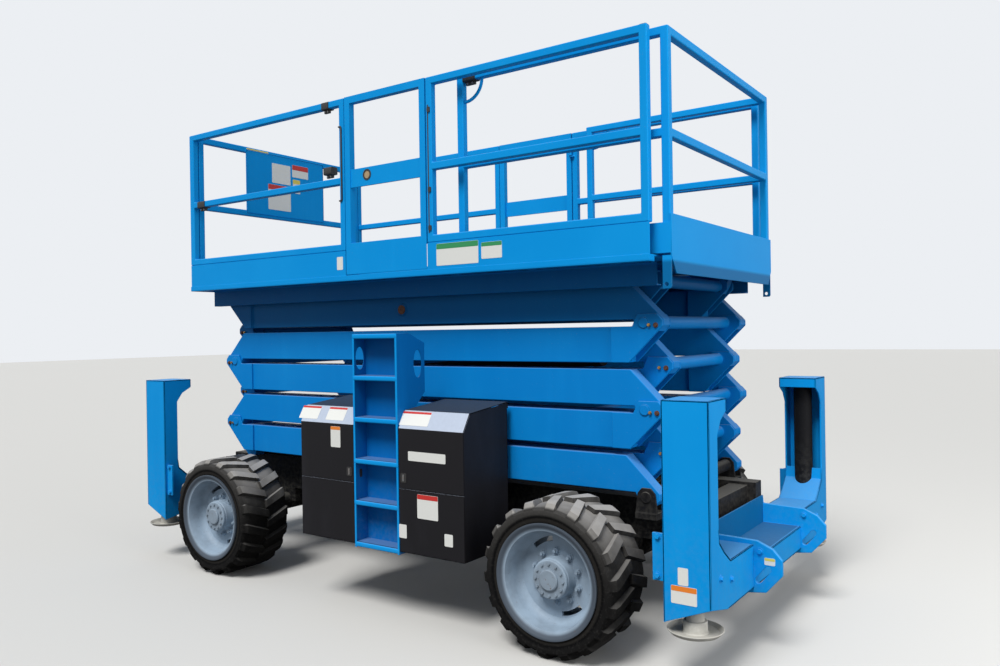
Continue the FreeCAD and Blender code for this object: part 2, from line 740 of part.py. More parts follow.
def end_frame(word, front):
    """Add an end frame: a beam across the machine with an outrigger leg at each end."""
    node = word + "_outrigger_frame"
    inner_x = size.frame_reach
    outer_x = size.frame_reach + size.leg_depth
    face = -size.leg_face
    rise = 82
    leg_side = [
        (face, size.beam_low - 190),
        (face + 190, size.beam_low - 160),
        (face + 330, size.beam_low),
        (0, size.beam_low),
        (0, size.beam_top),
        (face + 120, size.beam_top),
        (face + 105, size.beam_top + 60),
        (face + 105, size.leg_top - 210),
        (face + 205, size.leg_top - 50),
        (face + 205, size.leg_top),
        (face, size.leg_top),
    ]
    wall = size.leg_wall
    solids = [
        slab(node + "_face", "XZ", [
            (inner_x, size.beam_low - 190),
            (outer_x, size.beam_low - 190 + rise),
            (outer_x, size.leg_top),
            (inner_x, size.leg_top),
        ], (face, face + wall)),
        slab(node + "_inner_web", "YZ", leg_side, (inner_x, inner_x + wall)),
        slab(node + "_outer_web", "YZ", [(across, up) if up.value > size.beam_low.value - 165
                                         else (across, up + rise)
                                         for across, up in [(length(a), length(b)) for a, b in leg_side]],
             (outer_x - wall, outer_x)),
        block(node + "_cap", (inner_x, outer_x), (face, face + 205),
              (size.leg_top - wall, size.leg_top)),
        block(node + "_beam_top", (inner_x, outer_x), (face + 190, 0),
              (size.beam_top - wall, size.beam_top)),
        block(node + "_beam_low", (inner_x, outer_x), (face + 330, 0),
              (size.beam_low, size.beam_low + wall)),
        block(node + "_tow_bar", (outer_x, tow_reach - 90), (-640, 0),
              (size.beam_low + 20, size.beam_low + 140)),
    ]
    tow = [
        (outer_x, size.beam_top - 12),
        (tow_reach - 100, size.beam_top - 12),
        (tow_reach, size.beam_low + 120),
        (tow_reach, size.beam_low),
        (tow_reach - 90, size.beam_low - 70),
        (outer_x, size.beam_low + 20),
    ]
    slot_middle = (tow_reach - 85, size.beam_low + 40)
    slot = slab(node + "_slot", "XZ", [
        (slot_middle[0] - 55, slot_middle[1] - 45),
        (slot_middle[0] - 25, slot_middle[1] - 55),
        (slot_middle[0] + 50, slot_middle[1] + 25),
        (slot_middle[0] + 30, slot_middle[1] + 50),
    ], (-700, -600))
    solids.append(cut(node + "_tow", slab(node + "_tow_plate", "XZ", tow, (-665, -640)), [slot]))
    jack = rod(node + "_jack_tube", "z",
               ((inner_x + outer_x) / 2, -size.jack_y, size.beam_low - 90),
               size.leg_top - wall - size.beam_low + 90, size.jack_tube_radius)
    bore = rod(node + "_jack_bore", "z",
               ((inner_x + outer_x) / 2, -size.jack_y, size.beam_low - 91),
               size.leg_top - size.beam_low + 20, size.jack_rod_radius + size.pin_clearance)
    near = cut(node + "_near", join(node + "_near_solids", solids), [
        rod(node + "_jack_room", "z", ((inner_x + outer_x) / 2, -size.jack_y, size.beam_low - 90),
            size.leg_top - size.beam_low + 60, size.jack_tube_radius)])
    whole = join(node + "_whole", both_sides(node, near))
    tubes = cut(word + "_jack_tubes_near", jack, [bore])
    jacks = group(word + "_jack_tubes_pair", both_sides(word + "_jack_tubes", tubes))
    if front < 0:
        whole = mirror(node + "_turned", whole, ENDWISE)
        jacks = mirror(word + "_jack_tubes_turned", jacks, ENDWISE)
    finish(node, whole)
    finish(word + "_jack_tubes", jacks)


def jack_rod(corner, front, side):
    """Add a jack's moving tube with its foot pad."""
    node = "jack_" + corner
    at = (size.frame_reach + size.leg_depth / 2) * front
    across = size.jack_y * side
    finish(node, join(node + "_body", [
        rod(node + "_tube", "z", (at, across, size.pad_bottom + 8), 800, size.jack_rod_radius),
        rod(node + "_pad", "z", (at, across, size.pad_bottom), 14, size.pad_radius),
        rod(node + "_socket", "z", (at, across, size.pad_bottom + 14), 50, size.jack_rod_radius + 14),
    ]))


def ladder(side, word):
    """Add a boarding ladder: a folded channel with plate steps."""
    node = word + "_ladder"
    out = -size.cabinet_face
    back = out + size.ladder_depth
    wall = size.ladder_wall
    span = (size.ladder_rear, size.ladder_front)
    solids = [
        block(node + "_back", span, (back - wall, back), (size.ladder_low, size.ladder_top)),
        block(node + "_side_rear", (span[0], span[0] + wall), (out, back),
              (size.ladder_low, size.ladder_top)),
        slab(node + "_side_front", "YZ", [
            (out, size.ladder_low),
            (back, size.ladder_low),
            (back, size.ladder_top - 500),
            (back + 140, size.ladder_top - 360),
            (back + 140, size.ladder_top - 60),
            (back, size.ladder_top),
            (out, size.ladder_top),
        ], (span[1] - wall, span[1])),
    ]
    for number in range(6):
        up = size.ladder_low + 34 + (size.ladder_top - size.ladder_low - 34) / 5 * number
        solids.append(block("%s_step_%d" % (node, number), span, (out, back), (up - wall, up)))
    solid = join(node + "_near", solids)
    if side > 0:
        solid = mirror(node + "_turned", solid, ACROSS)
    finish(node, solid)


def cabinet_profile(shrink, low):
    """Corners of a cabinet's side, seen along X, drawn in by some amount."""
    out = -size.cabinet_face + shrink
    back = -size.cabinet_back
    return [
        (out, low),
        (out, size.cabinet_eave - shrink / 2),
        (out + size.cabinet_slope, size.cabinet_top - shrink),
        (back - shrink, size.cabinet_top - shrink),
    ]


CABINETS = (("rear", -430, "ladder_rear"), ("front", 896, "ladder_front"))


def cabinets(side, word):
    """Add the cabinets beside a ladder as open boxes, and their hoods."""
    shells = []
    for place_word, end, ladder_edge in CABINETS:
        edge = getattr(size, ladder_edge)
        if end < 0:
            span = (length(end), edge - 5)
        else:
            span = (edge + 5, length(end))
        node = "%s_%s" % (word, place_word)
        wall = size.cabinet_wall
        inside = size.cabinet_wall + size.hood_gap
        back = -size.cabinet_back
        side_points = cabinet_profile(inside, size.cabinet_low) + [
            (back + size.hinge_radius, size.cabinet_top - inside),
            (back + size.hinge_radius, size.cabinet_top - 40),
            (back, size.cabinet_top - 40),
            (back, size.cabinet_low),
        ]
        solids = [
            block(node + "_floor", span, (-size.cabinet_face, back),
                  (size.cabinet_low, size.cabinet_low + wall)),
            block(node + "_front", span, (-size.cabinet_face, -size.cabinet_face + wall),
                  (size.cabinet_low, size.cabinet_split - size.hood_gap)),
            block(node + "_back", span, (back - wall, back),
                  (size.cabinet_low, size.cabinet_top - 40)),
            slab(node + "_side_a", "YZ", side_points, (span[0], span[0] + wall)),
            slab(node + "_side_b", "YZ", side_points, (span[1] - wall, span[1])),
            rod(node + "_hinge_pin", "x", (span[0], back + size.hinge_radius / 2,
                                           size.cabinet_top - size.hinge_radius),
                span[1] - span[0], size.hinge_pin_radius),
        ]
        shells.append(join(node + "_shell", solids))
        hood_out = cabinet_profile(length(0), size.cabinet_split)
        hood_in = cabinet_profile(wall, size.cabinet_split)
        hood_in.reverse()
        hinge_y = back + size.hinge_radius / 2
        hinge_z = size.cabinet_top - size.hinge_radius
        hood = [slab(node + "_hood_sheet", "YZ", hood_out + hood_in, span)]
        bore = []
        for number, at in enumerate((span[0] + 60, span[1] - 120)):
            hood.append(rod("%s_sleeve_%d" % (node, number), "x", (at, hinge_y, hinge_z), 60,
                            size.hinge_radius))
            bore.append(rod("%s_sleeve_bore_%d" % (node, number), "x", (at - 1, hinge_y, hinge_z), 62,
                            size.hinge_pin_radius + size.pin_clearance))
        hood = cut(node + "_hood_near", join(node + "_hood_solids", hood), bore)
        if side > 0:
            hood = mirror(node + "_hood_turned", hood, ACROSS)
        finish(node + "_hood", hood)
    both = group(word + "_cabinets_near", shells)
    if side > 0:
        both = mirror(word + "_cabinets_turned", both, ACROSS)
    finish(word + "_cabinets", both)


def engine():
    """Add the engine as one plain block on the floor of the far rear cabinet."""
    finish("engine_block", block("engine_mass", (-400, 10), (740, 1120),
                                 (size.cabinet_low + size.cabinet_wall, 1130)))


def deck():
    """Add the main deck: floor, toe boards and edge flanges, with the frame under it."""
    half = deck_half_length
    edge = size.deck_half_width
    wall = size.toe_wall
    side_solids = [
        block("toe_board_rear_part", (-half, size.gate_rear), (-edge, -edge + wall),
              (deck_bottom, toe_top)),
        block("toe_board_front_part", (size.gate_front, half), (-edge, -edge + wall),
              (deck_bottom, toe_top)),
        block("edge_flange", (-half, half), (-edge - 6, -edge + 60), (deck_bottom, floor_top)),
        block("slide_strip", (size.extension_rear - 60, half),
              (-size.extension_half_width + 10, -size.extension_half_width + 90),
              (floor_top - 1, floor_top + size.slide_strip)),
    ]
    solids = both_sides("deck_side", join("deck_side", side_solids)) + [
        block("floor", (-half, half), (-edge + wall, edge - wall),
              (floor_top - size.floor_wall, floor_top)),
        block("toe_board_end", (-half, -half + wall), (-edge, edge), (deck_bottom, toe_top)),
    ]
    for number in range(7):
        at = 280 - half + (half * 2 - 560) / 6 * number
        solids.append(block("joist_%d" % number, (at - 30, at + 30), (-edge + wall, edge - wall),
                            (floor_top - 28, floor_top - size.floor_wall)))
    finish("main_deck", join("main_deck_body", solids))
    top_pin = level[5]
    track_low = top_pin - size.deck_roller_radius - size.track_room
    track_high = top_pin + size.deck_roller_radius + size.track_room
    out = -size.outer_plane - fork_outside
    beam_half = half - 40
    under = floor_top - 28
    shape = [
        (out - 6, track_low - 8),
        (out - 60, track_low - 8),
        (out - 60, under),
        (out - 52, under),
        (out - 52, track_high + 8),
        (out - 6, track_high + 8),
        (out - 6, track_high),
        (out - 52, track_high),
        (out - 52, track_low),
        (out - 6, track_low),
    ]
    beam = slab("deck_beam", "YZ", shape, (-beam_half, beam_half))
    inner = -size.inner_plane
    tongue = half_width - 4
    lug = slab("deck_lug", "XZ", [
        (front_pin_x - 60, top_pin),
        (front_pin_x - 30, top_pin - 50),
        (front_pin_x + 30, top_pin - 50),
        (front_pin_x + 60, top_pin),
        (front_pin_x + 90, under),
        (front_pin_x - 200, under),
    ], (inner - tongue, inner + tongue))
    lug = cut("deck_lug_bored", lug, [
        rod("deck_lug_hole", "y", (front_pin_x, inner - 100, top_pin), 200,
            size.pin_radius + size.pin_clearance)])
    finish("deck_beams", group("deck_beams_all",
                               both_sides("deck_beam", beam) + both_sides("deck_lug", lug)))


def rail_tube(name, start, end, up):
    """A fore-and-aft guardrail tube on the near edge."""
    edge = -size.deck_half_width
    return block(name, (start, end), (edge, edge + size.tube), (up - size.tube / 2, up + size.tube / 2))


def rail_post(name, at, low):
    """A square post on the near edge, from one height to the top rail."""
    edge = -size.deck_half_width
    return block(name, (at, at + size.tube), (edge, edge + size.tube), (low, rail_top))


def gate_hinges():
    """Places of the gate hinges' axis, seen from above, and of their feet."""
    axis = (size.gate_front - size.gate_gap / 2, -size.deck_half_width + size.tube + size.hinge_radius + 1)
    feet = (toe_top + size.gate_hinge_foot, rail_top - size.gate_hinge_drop)
    return axis, feet


def guardrails():
    """Add the side rails of the main deck, with a space for the gate, and the rear rail."""
    half = deck_half_length
    top = rail_top - size.tube / 2
    sections = []
    for word, start, end in (("rear", -half, size.gate_rear), ("front", size.gate_front, half)):
        pieces = [
            rail_tube(word + "_top", start, end, top),
            rail_tube(word + "_mid", start, end, rail_mid),
            rail_tube(word + "_foot", start, end, foot_rail),
        ]
        for number, at in enumerate((start, end - size.tube)):
            pieces.append(rail_post("%s_post_%d" % (word, number), at, toe_top))
        if word == "front":
            pieces += gate_hinge_pins()
        sections.append(join(word + "_section", pieces))
    near = group("near_guardrail_both", sections)
    finish("near_guardrail", near)
    finish("far_guardrail", mirror("far_guardrail_both", near, ACROSS))
    inside = size.deck_half_width - size.tube - 5
    end_x = (-half, -half + size.tube)
    pieces = [
        block("end_top", end_x, (-inside, inside), (top - size.tube / 2, top + size.tube / 2)),
        block("end_mid", end_x, (-inside, inside),
              (rail_mid - size.tube / 2, rail_mid + size.tube / 2)),
        block("end_foot", end_x, (-inside, inside), (toe_top, toe_top + size.tube)),
        block("end_post_near", end_x, (-inside, -inside + size.tube), (toe_top, rail_top)),
        block("end_post_far", end_x, (inside - size.tube, inside), (toe_top, rail_top)),
        block("end_panel", (-half + size.tube, -half + size.tube + 4), (-420, 420),
              (rail_mid, top)),
    ]
    finish("rear_guardrail", join("rear_guardrail_body", pieces))


def gate_hinge_pins():
    """The gate hinges' pins, each held by two ears on the post."""
    axis, feet = gate_hinges()
    ear = 10
    room = 4
    pieces = []
    for number, foot in enumerate(feet):
        top = foot + size.gate_hinge_height
        pieces.append(rod("gate_pin_%d" % number, "z", (axis[0], axis[1], foot - room - ear),
                          size.gate_hinge_height + (room + ear) * 2, size.hinge_pin_radius))
        for word, low in (("low", foot - room - ear), ("high", top + room)):
            pieces.append(rod("gate_ear_eye_%s_%d" % (word, number), "z", (axis[0], axis[1], low), ear,
                              size.hinge_radius))
            pieces.append(block("gate_ear_%s_%d" % (word, number),
                                (axis[0], size.gate_front + size.tube / 2),
                                (-size.deck_half_width + size.tube, axis[1] + size.hinge_radius),
                                (low, low + ear)))
    return pieces


def gate(side, word):
    """Add a side gate that swings inwards about its front edge."""
    node = word + "_gate"
    start = size.gate_rear + size.gate_gap
    end = size.gate_front - size.gate_gap
    top = rail_top - size.tube / 2
    edge = -size.deck_half_width
    pieces = [
        rail_tube(node + "_top", start, end, top),
        rail_tube(node + "_foot", start, end, foot_rail),
        rail_post(node + "_post_rear", start, toe_top),
        rail_post(node + "_post_front", end - size.tube, toe_top),
        block(node + "_plate", (start, end), (edge + 8, edge + 20), (rail_mid - 55, rail_mid + 65)),
        block(node + "_toe", (start, end), (edge, edge + 4), (floor_top + 6, toe_top + 10)),
    ]
    axis, feet = gate_hinges()
    bores = []
    for number, foot in enumerate(feet):
        height = size.gate_hinge_height
        pieces.append(rod("%s_sleeve_%d" % (node, number), "z", (axis[0], axis[1], foot), height,
                          size.hinge_radius))
        pieces.append(block("%s_leaf_%d" % (node, number), (axis[0] - size.hinge_radius - 3, end),
                            (edge + size.tube, axis[1]), (foot, foot + height)))
        bores.append(rod("%s_sleeve_bore_%d" % (node, number), "z", (axis[0], axis[1], foot - 1),
                         height + 2, size.hinge_pin_radius + size.pin_clearance))
    solid = cut(node + "_near", join(node + "_solids", pieces), bores)
    if side > 0:
        solid = mirror(node + "_turned", solid, ACROSS)
    finish(node, solid)


def extension():
    """Add the sliding deck with its front plate, and its guardrail."""
    half = size.extension_half_width
    start = size.extension_rear
    face = extension_front
    sheet_low = floor_top + 6
    pads = []
    for number, at in enumerate((start + 20, face - 200)):
        pads.append(block("deck_pad_%d" % number, (at, at + 60), (-half + 20, -half + 80),
                          (floor_top + size.slide_strip + size.pin_clearance, sheet_low)))
    side = join("extension_side", pads + [
        block("extension_toe", (start, face), (-half, -half + 6), (sheet_low, toe_top)),
    ])
    apron = slab("extension_apron", "YZ", [
        (-half + 60, apron_low),
        (half - 60, apron_low),
        (half, apron_low + 90),
        (half, apron_top),
        (-half, apron_top),
        (-half, apron_low + 90),
    ], (face - 8, face))
    finish("extension_deck", join("extension_deck_body", both_sides("extension_side", side) + [
        block("extension_floor", (start, face), (-half, half), (sheet_low, sheet_low + 12)),
        apron,
    ]))
    top = rail_top - size.tube / 2
    tube = size.tube
    out = -half + 6
    pieces = []
    for word, up in (("top", top), ("mid", rail_mid)):
        pieces.append(block("slide_" + word, (start, face - 8), (out, out + tube),
                            (up - tube / 2, up + tube / 2)))
    for word, at in (("rear", start), ("front", face - 8 - tube)):
        pieces.append(block("slide_post_" + word, (at, at + tube), (out, out + tube),
                            (sheet_low + 12, rail_top)))
    near = join("slide_rail", pieces)
    front = []
    for word, up in (("top", top), ("mid", rail_mid)):
        front.append(block("front_" + word, (face - 8 - tube, face - 8), (out, -out),
                           (up - tube / 2, up + tube / 2)))
    finish("extension_rail", join("extension_rail_body", both_sides("slide_rail", near) + front))


SLOPE = {"outer": (-1, 1, -1, 1, -1), "inner": (1, -1, 1, -1, 1)}
for stage_number in range(1, 6):
    for family_name in ("outer", "inner"):
        scissor_arm(family_name, stage_number, SLOPE[family_name][stage_number - 1])
for stage_number in (1, 3):
    lift_cylinder(stage_number)
CORNERS = (("front_near", 1, -1), ("front_far", 1, 1), ("rear_near", -1, -1), ("rear_far", -1, 1))
for corner_name, front_sign, side_sign in CORNERS:
    wheel(corner_name, front_sign, side_sign)
    jack_rod(corner_name, front_sign, side_sign)
for corner_name, front_sign, side_sign in CORNERS[:2]:
    knuckle(corner_name, side_sign)
axles()
tie_rod()
chassis()
for end_word, end_sign in (("front", 1), ("rear", -1)):
    end_frame(end_word, end_sign)
for side_word, side_sign in (("near", -1), ("far", 1)):
    ladder(side_sign, side_word)
    cabinets(side_sign, side_word)
    gate(side_sign, side_word)
engine()
deck()
guardrails()
extension()

os.makedirs("parts", exist_ok=True)
doc.recompute()
for item in doc.Objects:
    if "Invalid" in item.State or "Error" in item.State:
        raise ValueError("%s failed: %s" % (item.Name, item.State))
for piece in finished:
    if piece.Shape.isNull() or not piece.Shape.isValid():
        raise ValueError("%s has no valid shape" % piece.Label)
    piece.Shape.exportStep("parts/%s.step" % piece.Label)
    print(piece.Label, len(piece.Shape.Solids), round(piece.Shape.Volume / 1e9, 4))
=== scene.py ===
"""Looks of the folded scissor lift: camera, light, paint and the pieces that stand for CAD solids.

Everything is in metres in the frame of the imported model: +X front, -Y near side, +Z up.
"""
import json
import math

import bmesh
import bpy
import numpy as np
from mathutils import Matrix, Vector


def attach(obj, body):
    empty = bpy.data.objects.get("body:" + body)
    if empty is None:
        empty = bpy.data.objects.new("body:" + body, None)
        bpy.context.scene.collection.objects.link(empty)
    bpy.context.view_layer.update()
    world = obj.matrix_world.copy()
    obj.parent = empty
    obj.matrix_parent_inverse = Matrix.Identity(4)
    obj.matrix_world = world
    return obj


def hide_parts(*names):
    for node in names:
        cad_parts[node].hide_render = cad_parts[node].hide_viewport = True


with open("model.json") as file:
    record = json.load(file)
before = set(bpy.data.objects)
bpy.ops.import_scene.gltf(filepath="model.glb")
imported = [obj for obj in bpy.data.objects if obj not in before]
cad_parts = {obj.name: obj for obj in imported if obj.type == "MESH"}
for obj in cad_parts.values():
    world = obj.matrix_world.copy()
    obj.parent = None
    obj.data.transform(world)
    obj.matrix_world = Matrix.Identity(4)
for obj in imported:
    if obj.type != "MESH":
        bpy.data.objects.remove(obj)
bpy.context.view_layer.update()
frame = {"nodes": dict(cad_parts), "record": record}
BODY_OF = {node: body for body, nodes in frame["record"]["behaviour"]["bodies"].items()
           for node in nodes}

AXLE_X = 1.420
HUB_Z = 0.415
WHEEL_Y = 0.952
CABINET_FACE = 1.150
HOOD_HINGE = (0, -0.7065, 1.289)
LEG_BACK = 2.053
LEG_FACE = 2.293
LOWEST_PIN_Z = 0.810
STAGE_HEIGHT = 0.237
LUGS_IN_A_ROW = 18


def srgb(red, green, blue):
    """Linear colour of 0 to 255 screen values: ((c/255 + 0.055) / 1.055) ** 2.4."""
    linear = []
    for part in (red, green, blue):
        part = part / 255
        linear.append(part / 12.92 if part <= 0.04045 else ((part + 0.055) / 1.055) ** 2.4)
    return tuple(linear) + (1.0,)


class Wire:
    """A value in a material's graph. Arithmetic on it adds Math nodes."""

    def __init__(self, graph, socket):
        self.graph = graph
        self.socket = socket

    def reckon(self, operation, *others):
        return self.graph.node("ShaderNodeMath", {"operation": operation}, (self,) + others)

    def __add__(self, other):
        return self.reckon("ADD", other)

    def __radd__(self, other):
        return self.reckon("ADD", other)

    def __sub__(self, other):
        return self.reckon("SUBTRACT", other)

    def __rsub__(self, other):
        return self.graph.node("ShaderNodeMath", {"operation": "SUBTRACT"}, (other, self))

    def __mul__(self, other):
        return self.reckon("MULTIPLY", other)

    def __truediv__(self, other):
        return self.reckon("DIVIDE", other)

    def __pow__(self, other):
        return self.reckon("POWER", other)

    def band(self, low, high, start=0.0, end=1.0):
        """Smooth step from start to end while the value goes from low to high."""
        return self.graph.node("ShaderNodeMapRange", {"interpolation_type": "SMOOTHSTEP"},
                               {"Value": self, "From Min": low, "From Max": high,
                                "To Min": start, "To Max": end})


class Graph:
    """The node graph of one material."""

    def __init__(self, name):
        self.material = bpy.data.materials.new(name)
        self.material.use_nodes = True
        self.tree = self.material.node_tree
        self.shader = self.tree.nodes["Principled BSDF"]
        self.where = self.node("ShaderNodeTexCoord", {}, {}, "Object")
        parts = self.split(self.where)
        self.x, self.y, self.z = parts
        self.up = self.split(Wire(self, self.where.socket.node.outputs["Normal"]))[2]

    def node(self, kind, settings, inputs, output=0):
        """Add a node: its settings first, then the values or links of its sockets."""
        made = self.tree.nodes.new(kind)
        for name, value in settings.items():
            setattr(made, name, value)
        pairs = inputs.items() if isinstance(inputs, dict) else enumerate(inputs)
        for name, value in pairs:
            self.feed(made.inputs[name], value)
        return Wire(self, made.outputs[output])

    def feed(self, socket, value):
        if isinstance(value, Wire):
            self.tree.links.new(value.socket, socket)
        else:
            socket.default_value = value

    def split(self, vector):
        """The three parts of a vector."""
        made = self.node("ShaderNodeSeparateXYZ", {}, {"Vector": vector})
        return [Wire(self, socket) for socket in made.socket.node.outputs]

    def size(self, value):
        """A value without its sign."""
        return self.node("ShaderNodeMath", {"operation": "ABSOLUTE"}, (value,))

    def from_axle(self):
        """Distance from the line of the nearer axle."""
        across = self.size(self.x) - AXLE_X
        over = self.z - HUB_Z
        return (across * across + over * over) ** 0.5

    def painted_shade_band(self):
        """The band under the deck's edge, where painted shade goes."""
        return self.z.band(1.70, 1.80) * self.z.band(2.085, 2.06)

    def noise(self, scale, detail=4.0, stretch=(1, 1, 1)):
        """Fractal noise from 0 to 1 at a scale per metre."""
        vector = self.where
        if stretch != (1, 1, 1):
            vector = self.node("ShaderNodeMapping", {}, {"Vector": self.where, "Scale": stretch})
        return self.node("ShaderNodeTexNoise", {},
                         {"Vector": vector, "Scale": scale, "Detail": detail, "Roughness": 0.55})

    def blend(self, amount, under, over):
        """Mix two colours by an amount."""
        return self.node("ShaderNodeMix", {"data_type": "RGBA"}, {0: amount, 6: under, 7: over}, 2)

    def bump(self, height, strength, distance):
        """Normal tilted by a height."""
        return self.node("ShaderNodeBump", {}, {"Height": height, "Strength": strength,
                                                "Distance": distance})

    def surface(self, **sockets):
        """Set or link the shader's sockets by their names, with _ for a space."""
        for name, value in sockets.items():
            self.feed(self.shader.inputs[name.replace("_", " ")], value)
        return self.material


DUST = srgb(150, 146, 136)
PAINTED_SHADE_BLUE = srgb(6, 30, 62)
MACHINE_BLUE = srgb(8, 146, 220)
FADED_BLUE = srgb(20, 156, 228)
TROUGH_PAINTED_SHADE = 1.1


def machine_paint(name, colour, faded, dust_amount, roughness, low_dust=0.5, shaded=0.0):
    """Sprayed enamel that fades in broad patches, with dust on faces that look up.

    Under the deck's edge and in the end frames' low beams a painted shade darkens it by the
    amount shaded.
    """
    g = Graph(name)
    broad = g.noise(1.7, 3.0)
    fine = g.noise(38.0, 5.0)
    streak = g.noise(9.0, 4.0, (1.0, 1.0, 0.12))
    fade = broad.band(0.35, 0.75) * 0.5 + streak.band(0.45, 0.8) * 0.35
    base = g.blend(fade, colour, faded)
    lying = g.up.band(0.35, 0.95) * (0.45 + fine * 0.55) * dust_amount
    low = g.z.band(1.1, 0.25) * fine.band(0.35, 0.7) * dust_amount * low_dust
    base = g.blend(g.node("ShaderNodeMath", {"operation": "MAXIMUM"}, (lying, low)), base, DUST)
    # Painted shade: the trough of the end frames' low beams and the band under the deck's edge
    trough_shade = g.z.band(0.355, 0.365) * g.z.band(0.70, 0.68) * g.size(g.y).band(0.441, 0.436)
    trough_shade = trough_shade * g.size(g.x).band(LEG_FACE - 0.008, LEG_FACE - 0.018) * TROUGH_PAINTED_SHADE
    base = g.blend((g.painted_shade_band() + trough_shade) * shaded, base, PAINTED_SHADE_BLUE)
    speck = g.noise(160.0, 2.0).band(0.71, 0.76) * 0.35
    base = g.blend(speck, base, DUST)
    dulled = roughness + fine * 0.12 + lying * 0.35
    return g.surface(Base_Color=base, Roughness=dulled, Specular_IOR_Level=0.07,
                     Normal=g.bump(g.noise(240.0, 2.0), 0.06, 0.001))


def cabinet_paint():
    """Black enamel, dark, with a painted silver-grey reflection on the steep slope over each
    cabinet's face.
    """
    g = Graph("black_paint")
    fine = g.noise(38.0, 5.0)
    smear = g.noise(5.0, 4.0, (1.0, 1.0, 0.3))
    base = g.blend(smear.band(0.45, 0.8) * 0.35, srgb(27, 26, 29), srgb(46, 46, 51))
    # Painted reflection of the sky: the steep slope over the face is silver grey
    slope = g.up.band(0.40, 0.47) * g.up.band(0.72, 0.62) * g.size(g.y).band(1.084, 1.087)
    base = g.blend(slope * (0.85 + fine * 0.15), base, srgb(186, 196, 212))
    lying = g.up.band(0.90, 0.98) * (0.25 + fine * 0.4)
    base = g.blend(lying, base, srgb(70, 76, 84))
    return g.surface(Base_Color=base, Roughness=0.42 + fine * 0.15, Specular_IOR_Level=0.18,
                     Normal=g.bump(g.noise(200.0, 2.0), 0.05, 0.001))


def rim_paint():
    """Light grey wheel paint: a darker lip by distance from the axle, small spots of rust."""
    g = Graph("rim_grey")
    radius = g.from_axle()
    soil = g.noise(9.0, 5.0)
    fine = g.noise(70.0, 4.0)
    base = g.blend(soil.band(0.35, 0.75) * 0.6, srgb(150, 168, 184), srgb(118, 130, 142))
    base = g.blend(radius.band(0.262, 0.284) * 0.95, base, srgb(66, 74, 84))
    base = g.blend(radius.band(0.105, 0.085) * 0.35, base, srgb(112, 118, 124))
    rust = fine.band(0.66, 0.72) * (0.35 + radius.band(0.16, 0.125) * 0.4)
    base = g.blend(rust, base, srgb(104, 78, 58))
    return g.surface(Base_Color=base, Roughness=0.45 + fine * 0.2, Specular_IOR_Level=0.3,
                     Normal=g.bump(fine, 0.08, 0.001))


def worn_metal(name, colour, rust, rust_amount, roughness, metallic):
    """Plated or bare steel with brown spots of rust."""
    g = Graph(name)
    spots = g.noise(55.0, 5.0).band(0.62 - rust_amount * 0.3, 0.70) * rust_amount
    base = g.blend(spots, colour, rust)
    return g.surface(Base_Color=base, Metallic=metallic - spots * metallic,
                     Roughness=roughness + spots * 0.4,
                     Normal=g.bump(g.noise(180.0, 3.0), 0.1, 0.001))


def tyre_rubber():
    """Black rubber: grey-brown soil on the tread by its distance from the axle, dark side walls.
    The tread is lighter on faces that look up as painted light, darker near the ground as painted
    shade.
    """
    g = Graph("tyre_rubber")
    radius = g.from_axle()
    soil = g.noise(14.0, 6.0)
    fine = g.noise(90.0, 5.0)
    on_tread = radius.band(0.378, 0.394)
    # Painted light: faces of the tread that look up are made lighter
    lit = g.up.band(0.15, 0.80)
    shoulder = radius.band(0.335, 0.352) * 0.10
    tread = on_tread * (0.09 + soil.band(0.25, 0.75) * 0.14 + lit * 0.60)
    amount = g.node("ShaderNodeMath", {"operation": "MAXIMUM"}, (tread, shoulder))
    # Painted shade: tread and shoulder darker towards the ground
    amount = amount * g.z.band(0.34, 0.82, 0.12, 1.0) + fine.band(0.5, 0.8) * 0.04
    base = g.blend(amount, srgb(9, 9, 10), srgb(180, 176, 170))
    ring = radius.band(0.300, 0.312) * radius.band(0.335, 0.322) * 0.15
    base = g.blend(ring, base, srgb(92, 88, 82))
    return g.surface(Base_Color=base, Roughness=0.72 + fine * 0.2, Specular_IOR_Level=0.06,
                     Normal=g.bump(g.noise(120.0, 4.0), 0.18, 0.002))


def deck_paint():
    """Blue enamel with painted shade under the deck's edge, and a floor of tread plate: small
    raised bars at right angles, worn to grey.

    The bars are the peaks and hollows of sin(pi (x + y) / cell) sin(pi (x - y) / cell).
    """
    g = Graph("deck_paint")
    cell = 0.034
    across = [g.node("ShaderNodeMath", {"operation": "SINE"}, (way * math.pi,))
              for way in (g.x / cell + g.y / cell, g.x / cell - g.y / cell)]
    floor_part = g.up.band(0.90, 0.98) * g.z.band(2.098, 2.102) * g.z.band(2.140, 2.130)
    peaks = across[0] * across[1]
    bars = (peaks.band(0.55, 0.9) + (peaks * -1).band(0.55, 0.9)) * floor_part
    soil = g.noise(3.5, 5.0)
    fine = g.noise(60.0, 4.0)
    paint = g.blend(g.noise(1.7, 3.0).band(0.35, 0.75) * 0.5, MACHINE_BLUE, FADED_BLUE)
    # Painted shade under the deck's edge
    paint = g.blend(g.painted_shade_band() * 0.55, paint, PAINTED_SHADE_BLUE)
    worn = g.blend(soil.band(0.3, 0.75) * 0.6, srgb(66, 84, 102), srgb(128, 126, 120))
    worn = g.blend(bars * fine.band(0.35, 0.7) * 0.8, worn, srgb(168, 170, 170))
    base = g.blend(floor_part, paint, worn)
    return g.surface(Base_Color=base, Roughness=0.40 + fine * 0.1 + floor_part * 0.15,
                     Specular_IOR_Level=0.07, Normal=g.bump(bars, 0.5, 0.0012))


def plain_finish(name, colour, roughness, metallic=0.0, mottle=0.08):
    """A small part's finish, slightly mottled."""
    g = Graph(name)
    fine = g.noise(70.0, 4.0)
    base = g.blend(fine * mottle * 2, colour, srgb(120, 116, 108))
    return g.surface(Base_Color=base, Roughness=roughness + fine * 0.1, Metallic=metallic,
                     Normal=g.bump(fine, 0.04, 0.001))


